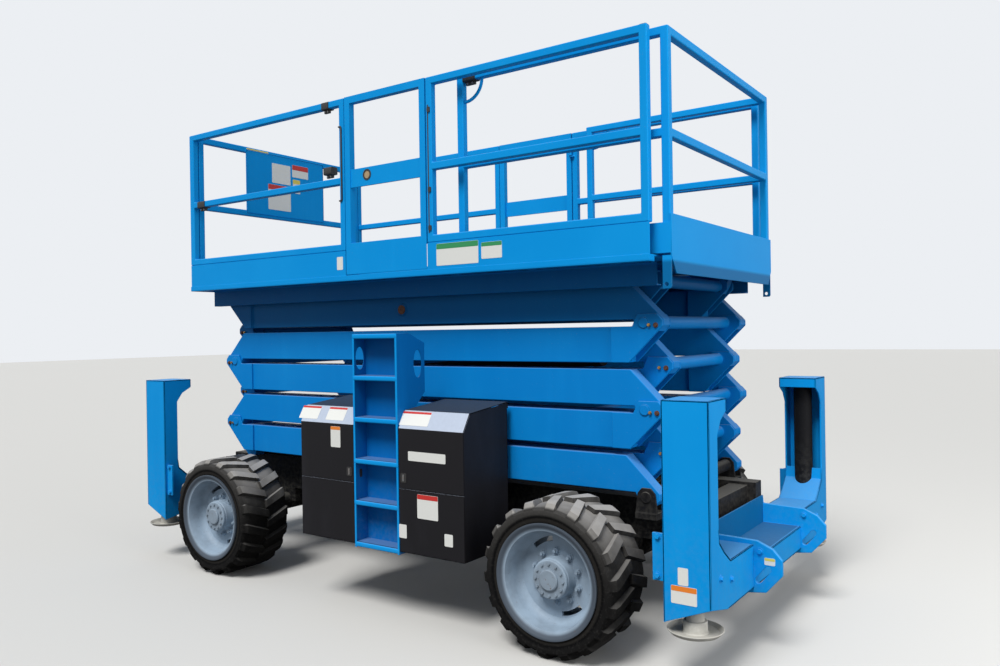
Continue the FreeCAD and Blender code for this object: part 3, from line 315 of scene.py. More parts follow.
FINISH = {
    "blue": machine_paint("blue_paint", MACHINE_BLUE, FADED_BLUE, 0.30, 0.36, 0.2, 0.55),
    # The arms', deck beams' and ladder's blues are darker copies of the machine blue: painted shade
    "arm_blue_painted_shade": machine_paint("arm_paint_painted_shade", srgb(8, 126, 202), srgb(16, 138, 212), 0.35, 0.34,
                              0.2, 0.55),
    "ladder_blue_painted_shade": machine_paint("ladder_paint_painted_shade", srgb(6, 102, 172), srgb(10, 116, 190), 0.35,
                                 0.36, 0.3),
    "black": cabinet_paint(),
    "frame_black": machine_paint("frame_black", srgb(24, 24, 26), srgb(38, 37, 36), 0.35, 0.5),
    "rim_grey": rim_paint(),
    "pad_grey": machine_paint("pad_grey", srgb(196, 194, 186), srgb(168, 164, 154), 0.6, 0.55),
    "rubber": tyre_rubber(),
    "deck": deck_paint(),
    "chrome": worn_metal("chrome", srgb(214, 214, 216), srgb(120, 84, 58), 0.15, 0.12, 1.0),
    "steel": worn_metal("bare_steel", srgb(128, 128, 128), srgb(104, 76, 56), 0.45, 0.45, 0.6),
    "rust": worn_metal("rusty_pin", srgb(96, 62, 42), srgb(58, 34, 26), 0.7, 0.7, 0.2),
    "brass": plain_finish("brass", srgb(190, 150, 84), 0.35, 0.9),
    "plastic": plain_finish("black_plastic", srgb(26, 26, 28), 0.5),
    "tan": plain_finish("tan_cup", srgb(178, 150, 112), 0.5),
}
for word, colour in (("blank_label", (226, 226, 220)), ("label_red", (196, 40, 34)),
                     ("label_orange", (232, 128, 36)), ("label_green", (36, 140, 82)),
                     ("label_yellow", (226, 206, 92))):
    FINISH[word.replace("blank_", "")] = plain_finish(word, srgb(*colour), 0.45, 0.0, 0.03)
SLOT_OF = {
    "blue": "blue_paint", "arm_blue_painted_shade": "blue_paint", "ladder_blue_painted_shade": "blue_paint",
    "deck": "blue_paint", "black": "black_paint", "frame_black": "black_paint",
    "rim_grey": "grey_paint", "pad_grey": "grey_paint", "rubber": "tyre_rubber",
    "chrome": "chrome_rod", "steel": "chrome_rod",
}


def shell_object(name, points, faces, finish, body, sharp, nodes):
    """Put points and faces into a mesh with one finish, riding on a body."""
    mesh = bpy.data.meshes.new(name)
    mesh.from_pydata([tuple(point) for point in np.asarray(points, float)], [],
                     [tuple(int(corner) for corner in face) for face in faces])
    return dressed(name, mesh, finish, body, sharp, nodes)


def dressed(name, mesh, finish, body, sharp, nodes):
    """Link a mesh as a piece: smooth up to an angle, one finish, a body and its CAD nodes."""
    mesh.polygons.foreach_set("use_smooth", np.ones(len(mesh.polygons), bool))
    mesh.set_sharp_from_angle(angle=math.radians(sharp))
    mesh.materials.clear()
    mesh.materials.append(FINISH[finish])
    piece = bpy.data.objects.new(name, mesh)
    bpy.context.scene.collection.objects.link(piece)
    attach(piece, body)
    if nodes:
        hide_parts(*nodes)
    finish in SLOT_OF
    return piece


def rounded(piece, width, angle=38.0):
    """Round the sharp edges of a piece."""
    bevel = piece.modifiers.new("rounded", "BEVEL")
    bevel.width = width
    bevel.segments = 2
    bevel.limit_method = "ANGLE"
    bevel.angle_limit = math.radians(angle)
    bevel.use_clamp_overlap = False
    bevel.miter_outer = "MITER_SHARP"
    bevel.harden_normals = True


def softened(node, finish, width):
    """A solid's own shape as one mesh, its edges rounded as bent or ground steel has them."""
    mesh = frame["nodes"][node].data.copy()
    mesh.name = node + "_finish"
    for spare in [a.name for a in mesh.attributes if a.name == "custom_normal"]:
        mesh.attributes.remove(mesh.attributes[spare])
    shell = bmesh.new()
    shell.from_mesh(mesh)
    bmesh.ops.remove_doubles(shell, verts=shell.verts, dist=2e-5)
    bmesh.ops.dissolve_limit(shell, angle_limit=math.radians(0.8), verts=shell.verts,
                             edges=shell.edges)
    shell.to_mesh(mesh)
    shell.free()
    rounded(dressed(node + "_shown", mesh, finish, BODY_OF[node], 38.0, (node,)), width)


def turned(profile, centre, count, axis=1):
    """Surface of revolution: profile rows (radius, along) carried round an axis.

    A row at angle t lies at centre + radius * (cos t, 0, sin t) + along * (0, 1, 0), with the
    parts in the order that the axis asks for.
    """
    profile = np.asarray(profile, float)
    angle = np.linspace(0, 2 * np.pi, count, endpoint=False)
    radius = profile[:, 0][:, None]
    along = np.repeat(profile[:, 1][:, None], count, axis=1)
    first = radius * np.cos(angle)
    second = radius * np.sin(angle)
    parts = {0: (along, first, second), 1: (second, along, first), 2: (first, second, along)}[axis]
    points = np.stack(parts, axis=-1).reshape(-1, 3) + np.asarray(centre, float)
    return points, ring_faces(len(profile), count)


def ring_faces(rows, count):
    """Quads between neighbouring rings, closed round each ring."""
    row = np.arange(rows - 1)[:, None]
    here = np.arange(count)[None, :]
    after = (here + 1) % count
    faces = np.stack([row * count + here, row * count + after,
                      (row + 1) * count + after, (row + 1) * count + here], axis=-1)
    return faces.reshape(-1, 4)


def merged(parts):
    """Several (points, faces) as one pair."""
    points = []
    faces = []
    offset = 0
    for these, those in parts:
        points.append(np.asarray(these, float))
        faces += [tuple(int(corner) + offset for corner in face) for face in those]
        offset += len(these)
    return np.concatenate(points), faces


def swept(path, section):
    """Carry a closed section along a path of straight runs and bends.

    At each path point the section (side, up) lies in the plane that halves the corner there:
    point + side * s + up * u, where s is level and u completes the frame of the run.
    """
    path = np.asarray(path, float)
    count = len(path)
    size = len(section)
    runs = np.diff(path, axis=0)
    runs /= np.linalg.norm(runs, axis=1)[:, None]
    way_in = np.vstack([runs[:1], runs])
    way_out = np.vstack([runs, runs[-1:]])
    tangent = way_in + way_out
    tangent /= np.linalg.norm(tangent, axis=1)[:, None]
    plane = np.cross(way_in, way_out)
    normal = plane[np.argmax(np.linalg.norm(plane, axis=1))]
    if np.linalg.norm(normal) < 1e-6:
        normal = np.cross(tangent[0], (0, 0, 1) if abs(tangent[0][2]) < 0.9 else (1, 0, 0))
    normal = normal / np.linalg.norm(normal)
    widen = 1 / np.maximum(np.sqrt((1 + np.sum(way_in * way_out, axis=1)) / 2), 0.3)
    side = np.cross(normal, tangent)
    side *= (widen / np.linalg.norm(side, axis=1))[:, None]
    points = (path[:, None, :] + section[None, :, 0, None] * side[:, None, :]
              + section[None, :, 1, None] * normal)
    faces = [tuple(face) for face in ring_faces(count, size)]
    faces.append(tuple(range(size - 1, -1, -1)))
    faces.append(tuple((count - 1) * size + i for i in range(size)))
    return points.reshape(-1, 3), faces


def oval(u, v, across, up, count=28):
    """Points of an ellipse about (u, v)."""
    turn = np.linspace(0, 2 * np.pi, count, endpoint=False)
    return np.stack([u + across * np.cos(turn), v + up * np.sin(turn)], axis=1)


def round_section(radius, count):
    """Points of a circle about the origin."""
    return oval(0.0, 0.0, radius, radius, count)


def extruded(outline, depths, origin, across, up, normal):
    """An outline (u, v) at two depths: origin + across * u + up * v + normal * depth."""
    flat = np.asarray(origin, float) + np.asarray(outline, float) @ np.array([across, up], float)
    count = len(outline)
    rows = [flat + np.asarray(normal, float) * depth for depth in depths]
    faces = [tuple(range(count - 1, -1, -1)), tuple(range(count, 2 * count))]
    faces += [(i, (i + 1) % count, count + (i + 1) % count, count + i) for i in range(count)]
    return np.concatenate(rows), faces


def prism(outline, low, high, normal):
    """An outline (u, v) between two heights along an axis: 0, 1 or 2 for X, Y or Z."""
    axes = np.eye(3)
    across, up = np.delete(axes, normal, axis=0)
    return extruded(outline, (low, high), (0, 0, 0), across, up, axes[normal])


def plate(origin, across, up, outline, thickness):
    """An outline (u, v) standing off a face, from its first to its second depth."""
    return extruded(outline, thickness, origin, across, up, np.cross(across, up))


def outward(points, faces):
    """Turn the faces of closed shells so that they point outwards."""
    shell = bmesh.new()
    made = [shell.verts.new(tuple(point)) for point in points]
    for face in faces:
        shell.faces.new([made[int(corner)] for corner in face])
    bmesh.ops.recalc_face_normals(shell, faces=shell.faces)
    shell.verts.index_update()
    result = [tuple(vert.index for vert in face.verts) for face in shell.faces]
    shell.free()
    return points, result


def box(low, high):
    """The six faces between two corners."""
    outline = [(low[0], low[1]), (high[0], low[1]), (high[0], high[1]), (low[0], high[1])]
    return prism(outline, low[2], high[2], 2)


def copies(part, turns):
    """A part repeated by 4x4 matrices."""
    points, faces = part
    stretched = np.column_stack([points, np.ones(len(points))])
    return merged([((stretched @ np.asarray(turn).T)[:, :3], faces) for turn in turns])


def bolt_head(across, height, collar):
    """A six-sided head on a washer, standing along +Z from the origin."""
    return merged([prism(round_section(across / 2, 6), 0.0025, height, 2),
                   prism(round_section(collar, 16), 0, 0.003, 2)])


def facing(direction, position):
    """Matrix that sets +Z along a direction at a position."""
    turn = Vector(direction).to_track_quat("Z", "Y").to_matrix().to_4x4()
    return Matrix.Translation(Vector(position)) @ turn


# Camera that looks at the near front corner, as in the photograph
YAW = math.radians(35.033)
PITCH = math.radians(-0.104)
ROLL = math.radians(-0.876)
ahead = Vector((-math.sin(YAW) * math.cos(PITCH), math.cos(YAW) * math.cos(PITCH), math.sin(PITCH)))
level_right = Vector((math.cos(YAW), math.sin(YAW), 0))
level_up = level_right.cross(ahead)
right = math.cos(ROLL) * level_right + math.sin(ROLL) * level_up
upward = -math.sin(ROLL) * level_right + math.cos(ROLL) * level_up
lens = bpy.data.cameras.new("camera")
lens.sensor_width = 36
lens.lens = 816.874 / 1000 * 36
camera = bpy.data.objects.new("camera", lens)
turn = Matrix((right, upward, -ahead)).transposed().to_4x4()
camera.matrix_world = Matrix.Translation((3.684, -4.750, 1.722)) @ turn
bpy.context.scene.collection.objects.link(camera)
bpy.context.scene.camera = camera
bpy.context.scene.view_settings.view_transform = "Standard"

# Light: soft sun high over the near side, pale surroundings, a weak fill from the front
sun = bpy.data.lights.new("sun", "SUN")
sun.energy = 3.1
sun.angle = math.radians(24)
sun_object = bpy.data.objects.new("sun", sun)
sun_object.rotation_euler = Vector((0.04, -0.57, 0.82)).to_track_quat("Z", "Y").to_euler()
bpy.context.scene.collection.objects.link(sun_object)
fill = bpy.data.lights.new("fill", "AREA")
fill.energy = 235
fill.size = 5
fill_object = bpy.data.objects.new("fill", fill)
fill_object.location = (7.5, -1.0, 3.0)
fill_object.rotation_euler = Vector((1, -0.1, 0.25)).to_track_quat("Z", "Y").to_euler()
bpy.context.scene.collection.objects.link(fill_object)

world = bpy.data.worlds.new("surroundings")
bpy.context.scene.world = world
world.use_nodes = True
tree = world.node_tree
tree.nodes.clear()
path = tree.nodes.new("ShaderNodeLightPath")
seen = path.outputs["Is Camera Ray"]
for ray in ("Is Glossy Ray", "Is Transmission Ray"):
    either = tree.nodes.new("ShaderNodeMath")
    either.operation = "MAXIMUM"
    tree.links.new(seen, either.inputs[0])
    tree.links.new(path.outputs[ray], either.inputs[1])
    seen = either.outputs[0]
choice = tree.nodes.new("ShaderNodeMixShader")
tree.links.new(seen, choice.inputs[0])
LIGHTING_SKY = (srgb(226, 234, 245), 0.42)
SEEN_SKY = (srgb(236, 239, 243), 1.0)
for place, values in enumerate((LIGHTING_SKY, SEEN_SKY), 1):
    sky = tree.nodes.new("ShaderNodeBackground")
    for index, value in enumerate(values):
        sky.inputs[index].default_value = value
    tree.links.new(sky.outputs[0], choice.inputs[place])
world_out = tree.nodes.new("ShaderNodeOutputWorld")
tree.links.new(choice.outputs[0], world_out.inputs[0])

ground = Graph("pale_floor")
looked_at = ground.node("ShaderNodeLightPath", {}, {}, "Is Camera Ray")
ground_colour = ground.blend(looked_at, srgb(112, 110, 107), srgb(205, 203, 198))
ground.surface(Base_Color=ground_colour, Roughness=0.9)
floor_mesh = bpy.data.meshes.new("floor")
floor_mesh.from_pydata([(-60, -60, 0), (60, -60, 0), (60, 60, 0), (-60, 60, 0)], [], [(0, 1, 2, 3)])
floor_mesh.materials.append(ground.material)
floor = bpy.data.objects.new("floor", floor_mesh)
bpy.context.scene.collection.objects.link(floor)

# Solids whose own shape is right: finish and rounding of their edges in metres
SOLIDS = [
    (["outer_arm_%d" % stage for stage in range(1, 6)], "arm_blue_painted_shade", 0.005),
    (["inner_arm_%d" % stage for stage in range(1, 6)], "arm_blue_painted_shade", 0.005),
    (["near_guardrail", "far_guardrail", "rear_guardrail", "extension_rail"], "blue", 0.007),
    (["near_gate", "far_gate"], "blue", 0.0015),
    (["deck_beams"], "arm_blue_painted_shade", 0.0025),
    (["main_deck", "extension_deck"], "deck", 0.0015),
    (["chassis_frame", "front_axle", "rear_axle", "tie_rod", "engine_block"], "frame_black", 0.004),
    (["knuckle_front_near", "knuckle_front_far"], "frame_black", 0.004),
    (["front_jack_tubes", "rear_jack_tubes"], "frame_black", 0.002),
    (["lower_lift_barrel", "upper_lift_barrel"], "frame_black", 0.003),
    (["lower_lift_rod", "upper_lift_rod"], "chrome", 0.002),
]
for nodes, finish, width in SOLIDS:
    for node in nodes:
        softened(node, finish, width)


def tyre(corner, front, side):
    """A tyre: a smooth carcass turned about its axle, and slanted lugs in two rows.

    A lug's point at s along it and t round its section lies at angle a(s) + h(s) t about the
    axle, at radius R(s, t) and at distance y(s) from the tyre's middle. Its angle leads towards
    the middle, so the two rows meet as arrowheads.
    """
    rows = [(0.285, 0.188), (0.303, 0.188), (0.307, 0.1895), (0.318, 0.193), (0.330, 0.1915),
            (0.343, 0.196), (0.358, 0.1985), (0.370, 0.197), (0.379, 0.188), (0.385, 0.170),
            (0.388, 0.10), (0.389, 0.0)]
    rows += [(radius, -along) for radius, along in rows[-2::-1]]
    centre = (AXLE_X * front, WHEEL_Y * side, HUB_Z)
    parts = [turned(rows + rows[:1], centre, 120)]
    s = np.linspace(0, 1, 10)[:, None]
    t = np.array([-1.35, -1.0, 1.0, 1.35])
    slant = front * np.radians(-4.6 + 9.2 * np.clip(s - 0.10, 0, 1) / 0.90)
    turn = slant + np.radians(3.9 - 0.6 * s) * t
    crown = 0.4145 - 0.034 * np.clip((0.16 - s) / 0.16, 0, 1) ** 1.5
    root = np.where(s < 0.1, 0.366, 0.384)
    radius = np.where(np.abs(t) > 1, root, crown)
    cell = np.arange(9)[:, None] * 4 + np.arange(3)
    faces = np.stack([cell, cell + 1, cell + 5, cell + 4], axis=-1).reshape(-1, 4).tolist()
    faces += [(3, 2, 1, 0), (36, 37, 38, 39)]
    for row in (1, -1):
        along = np.repeat((0.196 - s * 0.202) * row, 4, axis=1)
        for number in range(LUGS_IN_A_ROW):
            step = number + (0.5 if row == side else 0.0)
            angle = turn + 2 * np.pi * step / LUGS_IN_A_ROW
            points = np.stack([radius * np.cos(angle), along, radius * np.sin(angle)], axis=-1)
            parts.append(outward(points.reshape(-1, 3) + centre, faces))
    node = "tyre_" + corner
    shell_object(node + "_shown", *merged(parts), "rubber", BODY_OF[node], 34, (node,))


def mirrored(part, axis):
    """A part's mirror image across the middle, its faces turned to look outwards again."""
    points, faces = part
    points = np.array(points, float)
    points[:, axis] *= -1
    return points, [tuple(reversed(face)) for face in faces]


def assembled(name, parts, finish, body, sharp=30, nodes=(), over=None, width=0.0, angle=38.0):
    """One piece of closed parts, mirrored over an axis if one is given, its edges rounded."""
    if over is not None:
        parts = [mirrored(part, over) for part in parts]
    points, faces = merged([outward(*part) for part in parts])
    piece = shell_object(name, points, faces, finish, body, sharp, nodes)
    if width > 0:
        rounded(piece, width, angle)


def rim(corner, front, side):
    """A dished wheel: barrel and lip turned about the axle, a disc with two long slots, a hub.

    The disc is a polar grid of rings and angles whose cells inside a slot are left out; both
    its faces are made so, joined round the slots by their walls.
    """
    face = 1.152
    disc = face - 0.130
    barrel = [(0.250, 0.756), (0.303, 0.749), (0.303, 0.764), (0.285, 0.764),
              (0.285, face - 0.012), (0.303, face - 0.012), (0.3045, face - 0.004),
              (0.3045, face + 0.003), (0.300, face + 0.004), (0.290, face + 0.001),
              (0.278, face - 0.008), (0.262, face - 0.014), (0.257, face - 0.040),
              (0.254, face - 0.085), (0.247, face - 0.108), (0.232, face - 0.124), (0.220, disc),
              (0.220, disc - 0.016), (0.250, disc - 0.016), (0.250, 0.756)]
    hub = [(0.0, face - 0.030), (0.050, face - 0.030), (0.056, face - 0.034),
           (0.056, face - 0.044), (0.098, face - 0.046), (0.104, face - 0.050),
           (0.106, face - 0.058), (0.103, face - 0.064), (0.108, face - 0.070),
           (0.112, face - 0.120), (0.118, disc), (0.110, face - 0.150), (0.092, 0.926),
           (0.052, 0.926), (0.052, 0.996), (0.0, 0.996)]
    centre = np.array((AXLE_X * front, 0, HUB_Z))
    parts = [turned([(radius, along * side) for radius, along in rows], centre, count)
             for rows, count in ((barrel, 128), (hub, 72))]
    rings = np.array([0.105, 0.150, 0.172, 0.186, 0.2, 0.212, 0.2205])
    count = 144
    size = len(rings) * count
    angle = np.arange(count) * 2 * np.pi / count
    layers = [np.stack([rings[:, None] * np.cos(angle), np.full((len(rings), count), along * side),
                        rings[:, None] * np.sin(angle)], axis=-1).reshape(-1, 3) + centre
              for along in (disc, disc - 0.016)]
    open_cells = {(ring, int(step)) for middle in (117.0, 297.0) for ring in (3, 4) for step in
                  np.flatnonzero(np.abs((np.degrees(angle) - middle + 181.25) % 360 - 180) < 19)}
    faces = []
    for ring in range(len(rings) - 1):
        for step in range(count):
            after = (step + 1) % count
            corners = (ring * count + step, ring * count + after, (ring + 1) * count + after,
                       (ring + 1) * count + step)
            if (ring, step) in open_cells:
                for neighbour, (start, end) in (((ring - 1, step), (0, 1)),
                                                ((ring + 1, step), (3, 2)),
                                                ((ring, (step - 1) % count), (0, 3)),
                                                ((ring, after), (1, 2))):
                    if neighbour not in open_cells:
                        first, second = corners[start], corners[end]
                        faces.append((first, second, second + size, first + size))
                continue
            faces.append(corners)
            faces.append(tuple(corner + size for corner in reversed(corners)))
    parts.append((np.concatenate(layers), faces))
    node = "rim_" + corner
    assembled(node + "_shown", parts, "rim_grey", BODY_OF[node], 30, (node,))

    def circle(head, number, start, radius, along):
        """A head repeated on a circle about the axle, looking outwards."""
        turns = [2 * math.pi * (place + start) / number for place in range(number)]
        spots = [centre + (radius * math.cos(turn), side * along, radius * math.sin(turn))
                 for turn in turns]
        return copies(head, [facing((0, side, 0), spot) for spot in spots])

    stud = merged([bolt_head(0.030, 0.020, 0.019),
                   prism(round_section(0.0085, 10), 0.018, 0.034, 2)])
    assembled(node + "_bolts", [circle(stud, 10, 0.5, 0.139, disc),
                                circle(bolt_head(0.015, 0.008, 0.009), 12, 0.0, 0.084,
                                       face - 0.0445)], "rim_grey", BODY_OF[node])


def solid_plate(outline, low, high, normal, holes):
    """A plate with holes: its two faces are filled between the outline and the holes.

    The loops (u, v) lie at the heights low and high along an axis, and quads join them.
    """
    order = {0: (2, 0, 1), 1: (0, 2, 1)}[normal]
    shell = bmesh.new()
    loops = []
    for height in (low, high):
        edges = []
        for loop in [outline] + list(holes):
            made = [shell.verts.new([(u, v, height)[place] for place in order]) for u, v in loop]
            edges += [shell.edges.new((made[i], made[(i + 1) % len(made)]))
                      for i in range(len(made))]
            loops.append(made)
        bmesh.ops.triangle_fill(shell, use_beauty=True, edges=edges)
    half = len(loops) // 2
    for lower, upper in zip(loops[:half], loops[half:]):
        for i in range(len(lower)):
            after = (i + 1) % len(lower)
            shell.faces.new((lower[i], lower[after], upper[after], upper[i]))
    shell.verts.index_update()
    points = np.array([tuple(vert.co) for vert in shell.verts])
    faces = [tuple(vert.index for vert in face.verts) for face in shell.faces]
    shell.free()
    return points, faces


def end_frame(node, front):
    """An end frame of plate: legs with a flared lip, gussets, a low beam and tow plates.

    Each web is one outline (y, z): the near half's upper edge, the same mirrored, and both
    lower edges. The other plates run along X between the webs, from the legs' back to their face.
    """
    gusset = [(-0.975, 0.770), (-0.965, 0.700), (-0.902, 0.643), (-0.811, 0.580)]
    leg = [(-1.088, 1.382), (-0.853, 1.382), (-0.853, 1.319), (-0.929, 1.277), (-0.975, 1.212)]
    leg += gusset + [(-0.467, 0.580)]
    parts = []
    for top, foot, start in (((-0.442, 0.660), 0.310, LEG_BACK),
                             ((-0.467, 0.490), 0.405, LEG_FACE - 0.010)):
        upper = leg + [top]
        under = [(-0.861, 0.350), (-1.088, foot)]
        outline = (upper + [(-y, z) for y, z in reversed(upper)]
                   + [(-y, z) for y, z in reversed(under)] + under)
        parts.append(prism(outline, start, start + 0.010, 0))
    tip = 2.440
    tow = [(1.990, 0.430), (1.990, 0.610), (tip - 0.130, 0.600), (tip - 0.048, 0.564), (tip, 0.510),
           (tip, 0.430), (tip - 0.085, 0.333), (tip - 0.200, 0.317), (tip - 0.260, 0.350),
           (LEG_BACK, 0.350)]
    slot = [(tip - 0.098 + u, 0.424 + v) for u, v in (
        (-0.042, -0.024), (0.016, 0.046), (0.032, 0.049), (0.042, 0.040), (0.042, 0.024),
        (-0.016, -0.046), (-0.032, -0.049), (-0.042, -0.040))]
    sheet = [(y - 0.010, z - 0.010) for y, z in reversed(gusset)]
    near = [
        prism([(LEG_BACK, 0.310), (LEG_FACE, 0.405), (LEG_FACE, 1.382), (LEG_BACK, 1.382)],
              -1.088, -1.078, 1),
        prism(gusset + sheet, LEG_BACK, LEG_FACE, 0),
        box((LEG_BACK, -1.088, 1.372), (LEG_FACE, -0.853, 1.382)),
        box((LEG_BACK, -0.863, 1.319), (LEG_FACE, -0.853, 1.382)),
        box((LEG_BACK, -0.821, 0.570), (LEG_FACE, -0.467, 0.580)),
        box((1.991, -1.070, 0.500), (LEG_BACK, -1.054, 0.732)),
        solid_plate(tow, -0.467, -0.442, 1, [slot]),
    ]
    parts += near + [mirrored(part, 1) for part in near]
    parts += [box((LEG_BACK, -0.467, 0.480), (LEG_FACE, 0.467, 0.490)),
              box((LEG_BACK, -0.861, 0.350), (LEG_FACE, 0.861, 0.360))]
    assembled(node + "_shown", parts, "blue", BODY_OF[node], 32, (node,),
              0 if front < 0 else None, 0.003)


def jack_rod(node, front, side):
    """A jack's moving tube on a dished foot pad, turned about the jack's axis."""
    profile = [(0.0, 0.250), (0.112, 0.250), (0.119, 0.252), (0.136, 0.269), (0.137, 0.272),
               (0.134, 0.274), (0.130, 0.272), (0.113, 0.259), (0.064, 0.257), (0.059, 0.262),
               (0.058, 0.309), (0.055, 0.314), (0.046, 0.315), (0.044, 0.319), (0.044, 1.055),
               (0.0, 1.055)]
    tube = turned(profile, (2.173 * front, 0.985 * side, 0), 72, 2)
    assembled(node + "_shown", [tube], "pad_grey", BODY_OF[node], 30, (node,))


def cabinet_profile(shrink, low):
    """Corners (y, z) of a cabinet's side, drawn in by the thickness of what is over it."""
    return [(shrink - CABINET_FACE, low), (shrink - CABINET_FACE, 1.160 - shrink * 0.28),
            (-1.088 + shrink * 0.6, 1.263 - shrink * 0.95),
            (-0.712 - shrink, 1.300 - shrink * 1.1)]


def cabinets(word, side):
    """Two open sheet boxes and their hoods, each hood bent from one sheet round a steep slope."""
    over = 1 if side > 0 else None
    wall = 0.005
    shells = []
    for place, start, end in (("rear", -0.430, 0.043), ("front", 0.417, 0.896)):
        sides = cabinet_profile(0.008, 0.430) + [(-0.701, 1.292), (-0.701, 1.260),
                                                 (-0.712, 1.260), (-0.712, 0.430)]
        shells += [
            box((start, -CABINET_FACE, 0.430), (end, -0.712, 0.435)),
            box((start, -CABINET_FACE, 0.430), (end, wall - CABINET_FACE, 0.805)),
            box((start, -0.717, 0.430), (end, -0.712, 1.260)),
            prism(sides, start, start + wall, 0),
            prism(sides, end - wall, end, 0),
            turned([(0, start), (0.006, start), (0.006, end), (0, end)], HOOD_HINGE, 16, 0),
        ]
        sheet = cabinet_profile(0, 0.808)[:-1] + [(-0.711, 1.300), (-0.711, 1.2945)]
        hood = [prism(sheet + cabinet_profile(wall, 0.808)[::-1], start, end, 0)]
        for low in (start + 0.060, end - 0.120):
            knuckle = [(0.0063, low), (0.011, low), (0.011, low + 0.060), (0.0063, low + 0.060)]
            hood.append(turned(knuckle + knuckle[:1], HOOD_HINGE, 20, 0))
        node = "%s_%s_hood" % (word, place)
        assembled(node + "_shown", hood, "black", BODY_OF[node], 20, (node,), over, 0.0015, 24.0)
    node = word + "_cabinets"
    assembled(node + "_shown", shells, "black", BODY_OF[node], 20, (node,), over, 0.0012, 24.0)


def round_corners(low, high, corner, steps=4):
    """Outline of a rectangle whose corners are quarter circles."""
    rows = []
    spots = ((high[0] - corner, high[1] - corner), (low[0] + corner, high[1] - corner),
             (low[0] + corner, low[1] + corner), (high[0] - corner, low[1] + corner))
    for quarter, (u, v) in enumerate(spots):
        for angle in np.linspace(quarter, quarter + 1, steps) * np.pi / 2:
            rows.append((u + corner * np.cos(angle), v + corner * np.sin(angle)))
    return rows


def ladder(word, side):
    """A boarding ladder of sheet: a back, two side plates with oval hand holes, lipped steps.

    The lips and the flanges along the front edges are turned outwards from the sheet.
    """
    rear = [(-CABINET_FACE, 0.410), (-1.038, 0.410), (-1.038, 1.720), (-CABINET_FACE, 1.720)]
    front = rear[:2] + [(-1.038, 1.220), (-0.898, 1.360), (-0.898, 1.660)] + rear[2:]
    parts = [solid_plate(rear, 0.048, 0.054, 0, [oval(-1.094, 1.570, 0.036, 0.070)]),
             solid_plate(front, 0.406, 0.412, 0, [oval(-0.962, 1.535, 0.038, 0.085)]),
             box((0.049, -1.044, 0.411), (0.411, -1.038, 1.719))]
    lips = [box((0.048, -1.1535, 0.410), (0.062, -1.1495, 1.720)),
            box((0.398, -1.1535, 0.410), (0.412, -1.1495, 1.720))]
    for number in range(6):
        top = 0.444 + 0.2552 * number
        parts.append(box((0.049, -CABINET_FACE, top - 0.006), (0.411, -1.038, top)))
        lips.append(prism(round_corners((-1.1545, top - 0.030), (-1.132, top), 0.007),
                          0.0485, 0.4115, 0))
    node = word + "_ladder"
    over = 1 if side > 0 else None
    assembled(node + "_shown", parts, "ladder_blue_painted_shade", BODY_OF[node], 30, (node,), over, 0.0012)
    assembled(node + "_lips", lips, "blue", BODY_OF[node], 30, (), over, 0.0012)


end_frame("front_outrigger_frame", 1)
end_frame("rear_outrigger_frame", -1)
SIDES = (("near", -1), ("far", 1))
for word, side in SIDES:
    cabinets(word, side)
    ladder(word, side)
for corner, front, side in (("front_near", 1, -1), ("front_far", 1, 1), ("rear_near", -1, -1),
                            ("rear_far", -1, 1)):
    tyre(corner, front, side)
    rim(corner, front, side)
    jack_rod("jack_" + corner, front, side)

# Small parts are collected by body and finish, and each group becomes one piece at the end
DETAILS = {}


def keep(name, body, finish, part):
    """Add a closed part to the group of that name, body and finish."""
    DETAILS.setdefault((name, body, finish), []).append(part)


def label(body, origin, across, up, low, high, strip, share):
    """A blank sign, and a coloured strip along its top edge if one is named."""
    corner = min(0.006, (high[1] - low[1]) / 5)
    keep("blank_labels", body, "label",
         plate(origin, across, up, round_corners(low, high, corner), (0.0002, 0.0011)))
    if strip:
        edge = high[1] - (high[1] - low[1]) * share
        outline = round_corners((low[0] + 0.001, edge), (high[0] - 0.001, high[1] - 0.001),
                                corner * 0.6)
        keep("label_strips", body, strip, plate(origin, across, up, outline, (0.0010, 0.0016)))


RIGHT = (1, 0, 0)
UPRIGHT = (0, 0, 1)
PLATFORM = BODY_OF["main_deck"]
CHASSIS = BODY_OF["chassis_frame"]
EXTENSION = BODY_OF["extension_rail"]

# Signs on flat faces of the near side: body, distance of the face, two corners, strip, its share
NEAR_SIGNS = [
    (PLATFORM, 0.915, (0.535, 2.125), (0.850, 2.258), "label_green", 0.25),
    (PLATFORM, 0.915, (0.872, 2.146), (1.018, 2.242), "label_green", 0.25),
    (PLATFORM, 0.915, (-0.320, 2.147), (-0.265, 2.233), None, 0),
    (CHASSIS, 1.088, (2.130, 0.502), (2.182, 0.586), None, 0),
    (CHASSIS, 1.088, (2.094, 0.412), (2.224, 0.498), "label_orange", 0.3),
    (CHASSIS, 0.467, (2.349, 0.480), (2.405, 0.518), "label_yellow", 0.4),
    (BODY_OF["near_rear_hood"], CABINET_FACE, (-0.155, 1.012), (-0.070, 1.142), "label_orange",
     0.16),
    (BODY_OF["near_front_hood"], CABINET_FACE, (0.490, 0.975), (0.770, 1.030), None, 0),
    (CHASSIS, CABINET_FACE, (0.555, 0.645), (0.710, 0.785), "label_red", 0.2),
    (CHASSIS, CABINET_FACE, (0.412, 0.515), (0.470, 0.595), None, 0),
    (CHASSIS, CABINET_FACE, (0.755, 0.510), (0.815, 0.580), None, 0),
    (BODY_OF["outer_arm_2"], 0.6805, (-0.900, 1.160), (-0.760, 1.208), None, 0),
]
for body, reach, low, high, strip, share in NEAR_SIGNS:
    label(body, (0, -reach, 0), RIGHT, UPRIGHT, low, high, strip, share)

SLOPE = Vector((0, 0.062, 0.103)).normalized()
for node, low, high in (("near_rear_hood", -0.462, -0.290), ("near_rear_hood", -0.215, -0.055),
                        ("near_front_hood", 0.408, 0.630)):
    label(BODY_OF[node], (0, -CABINET_FACE, 1.160), RIGHT, SLOPE, (low, 0.022), (high, 0.112),
          "label_red", 0.16)

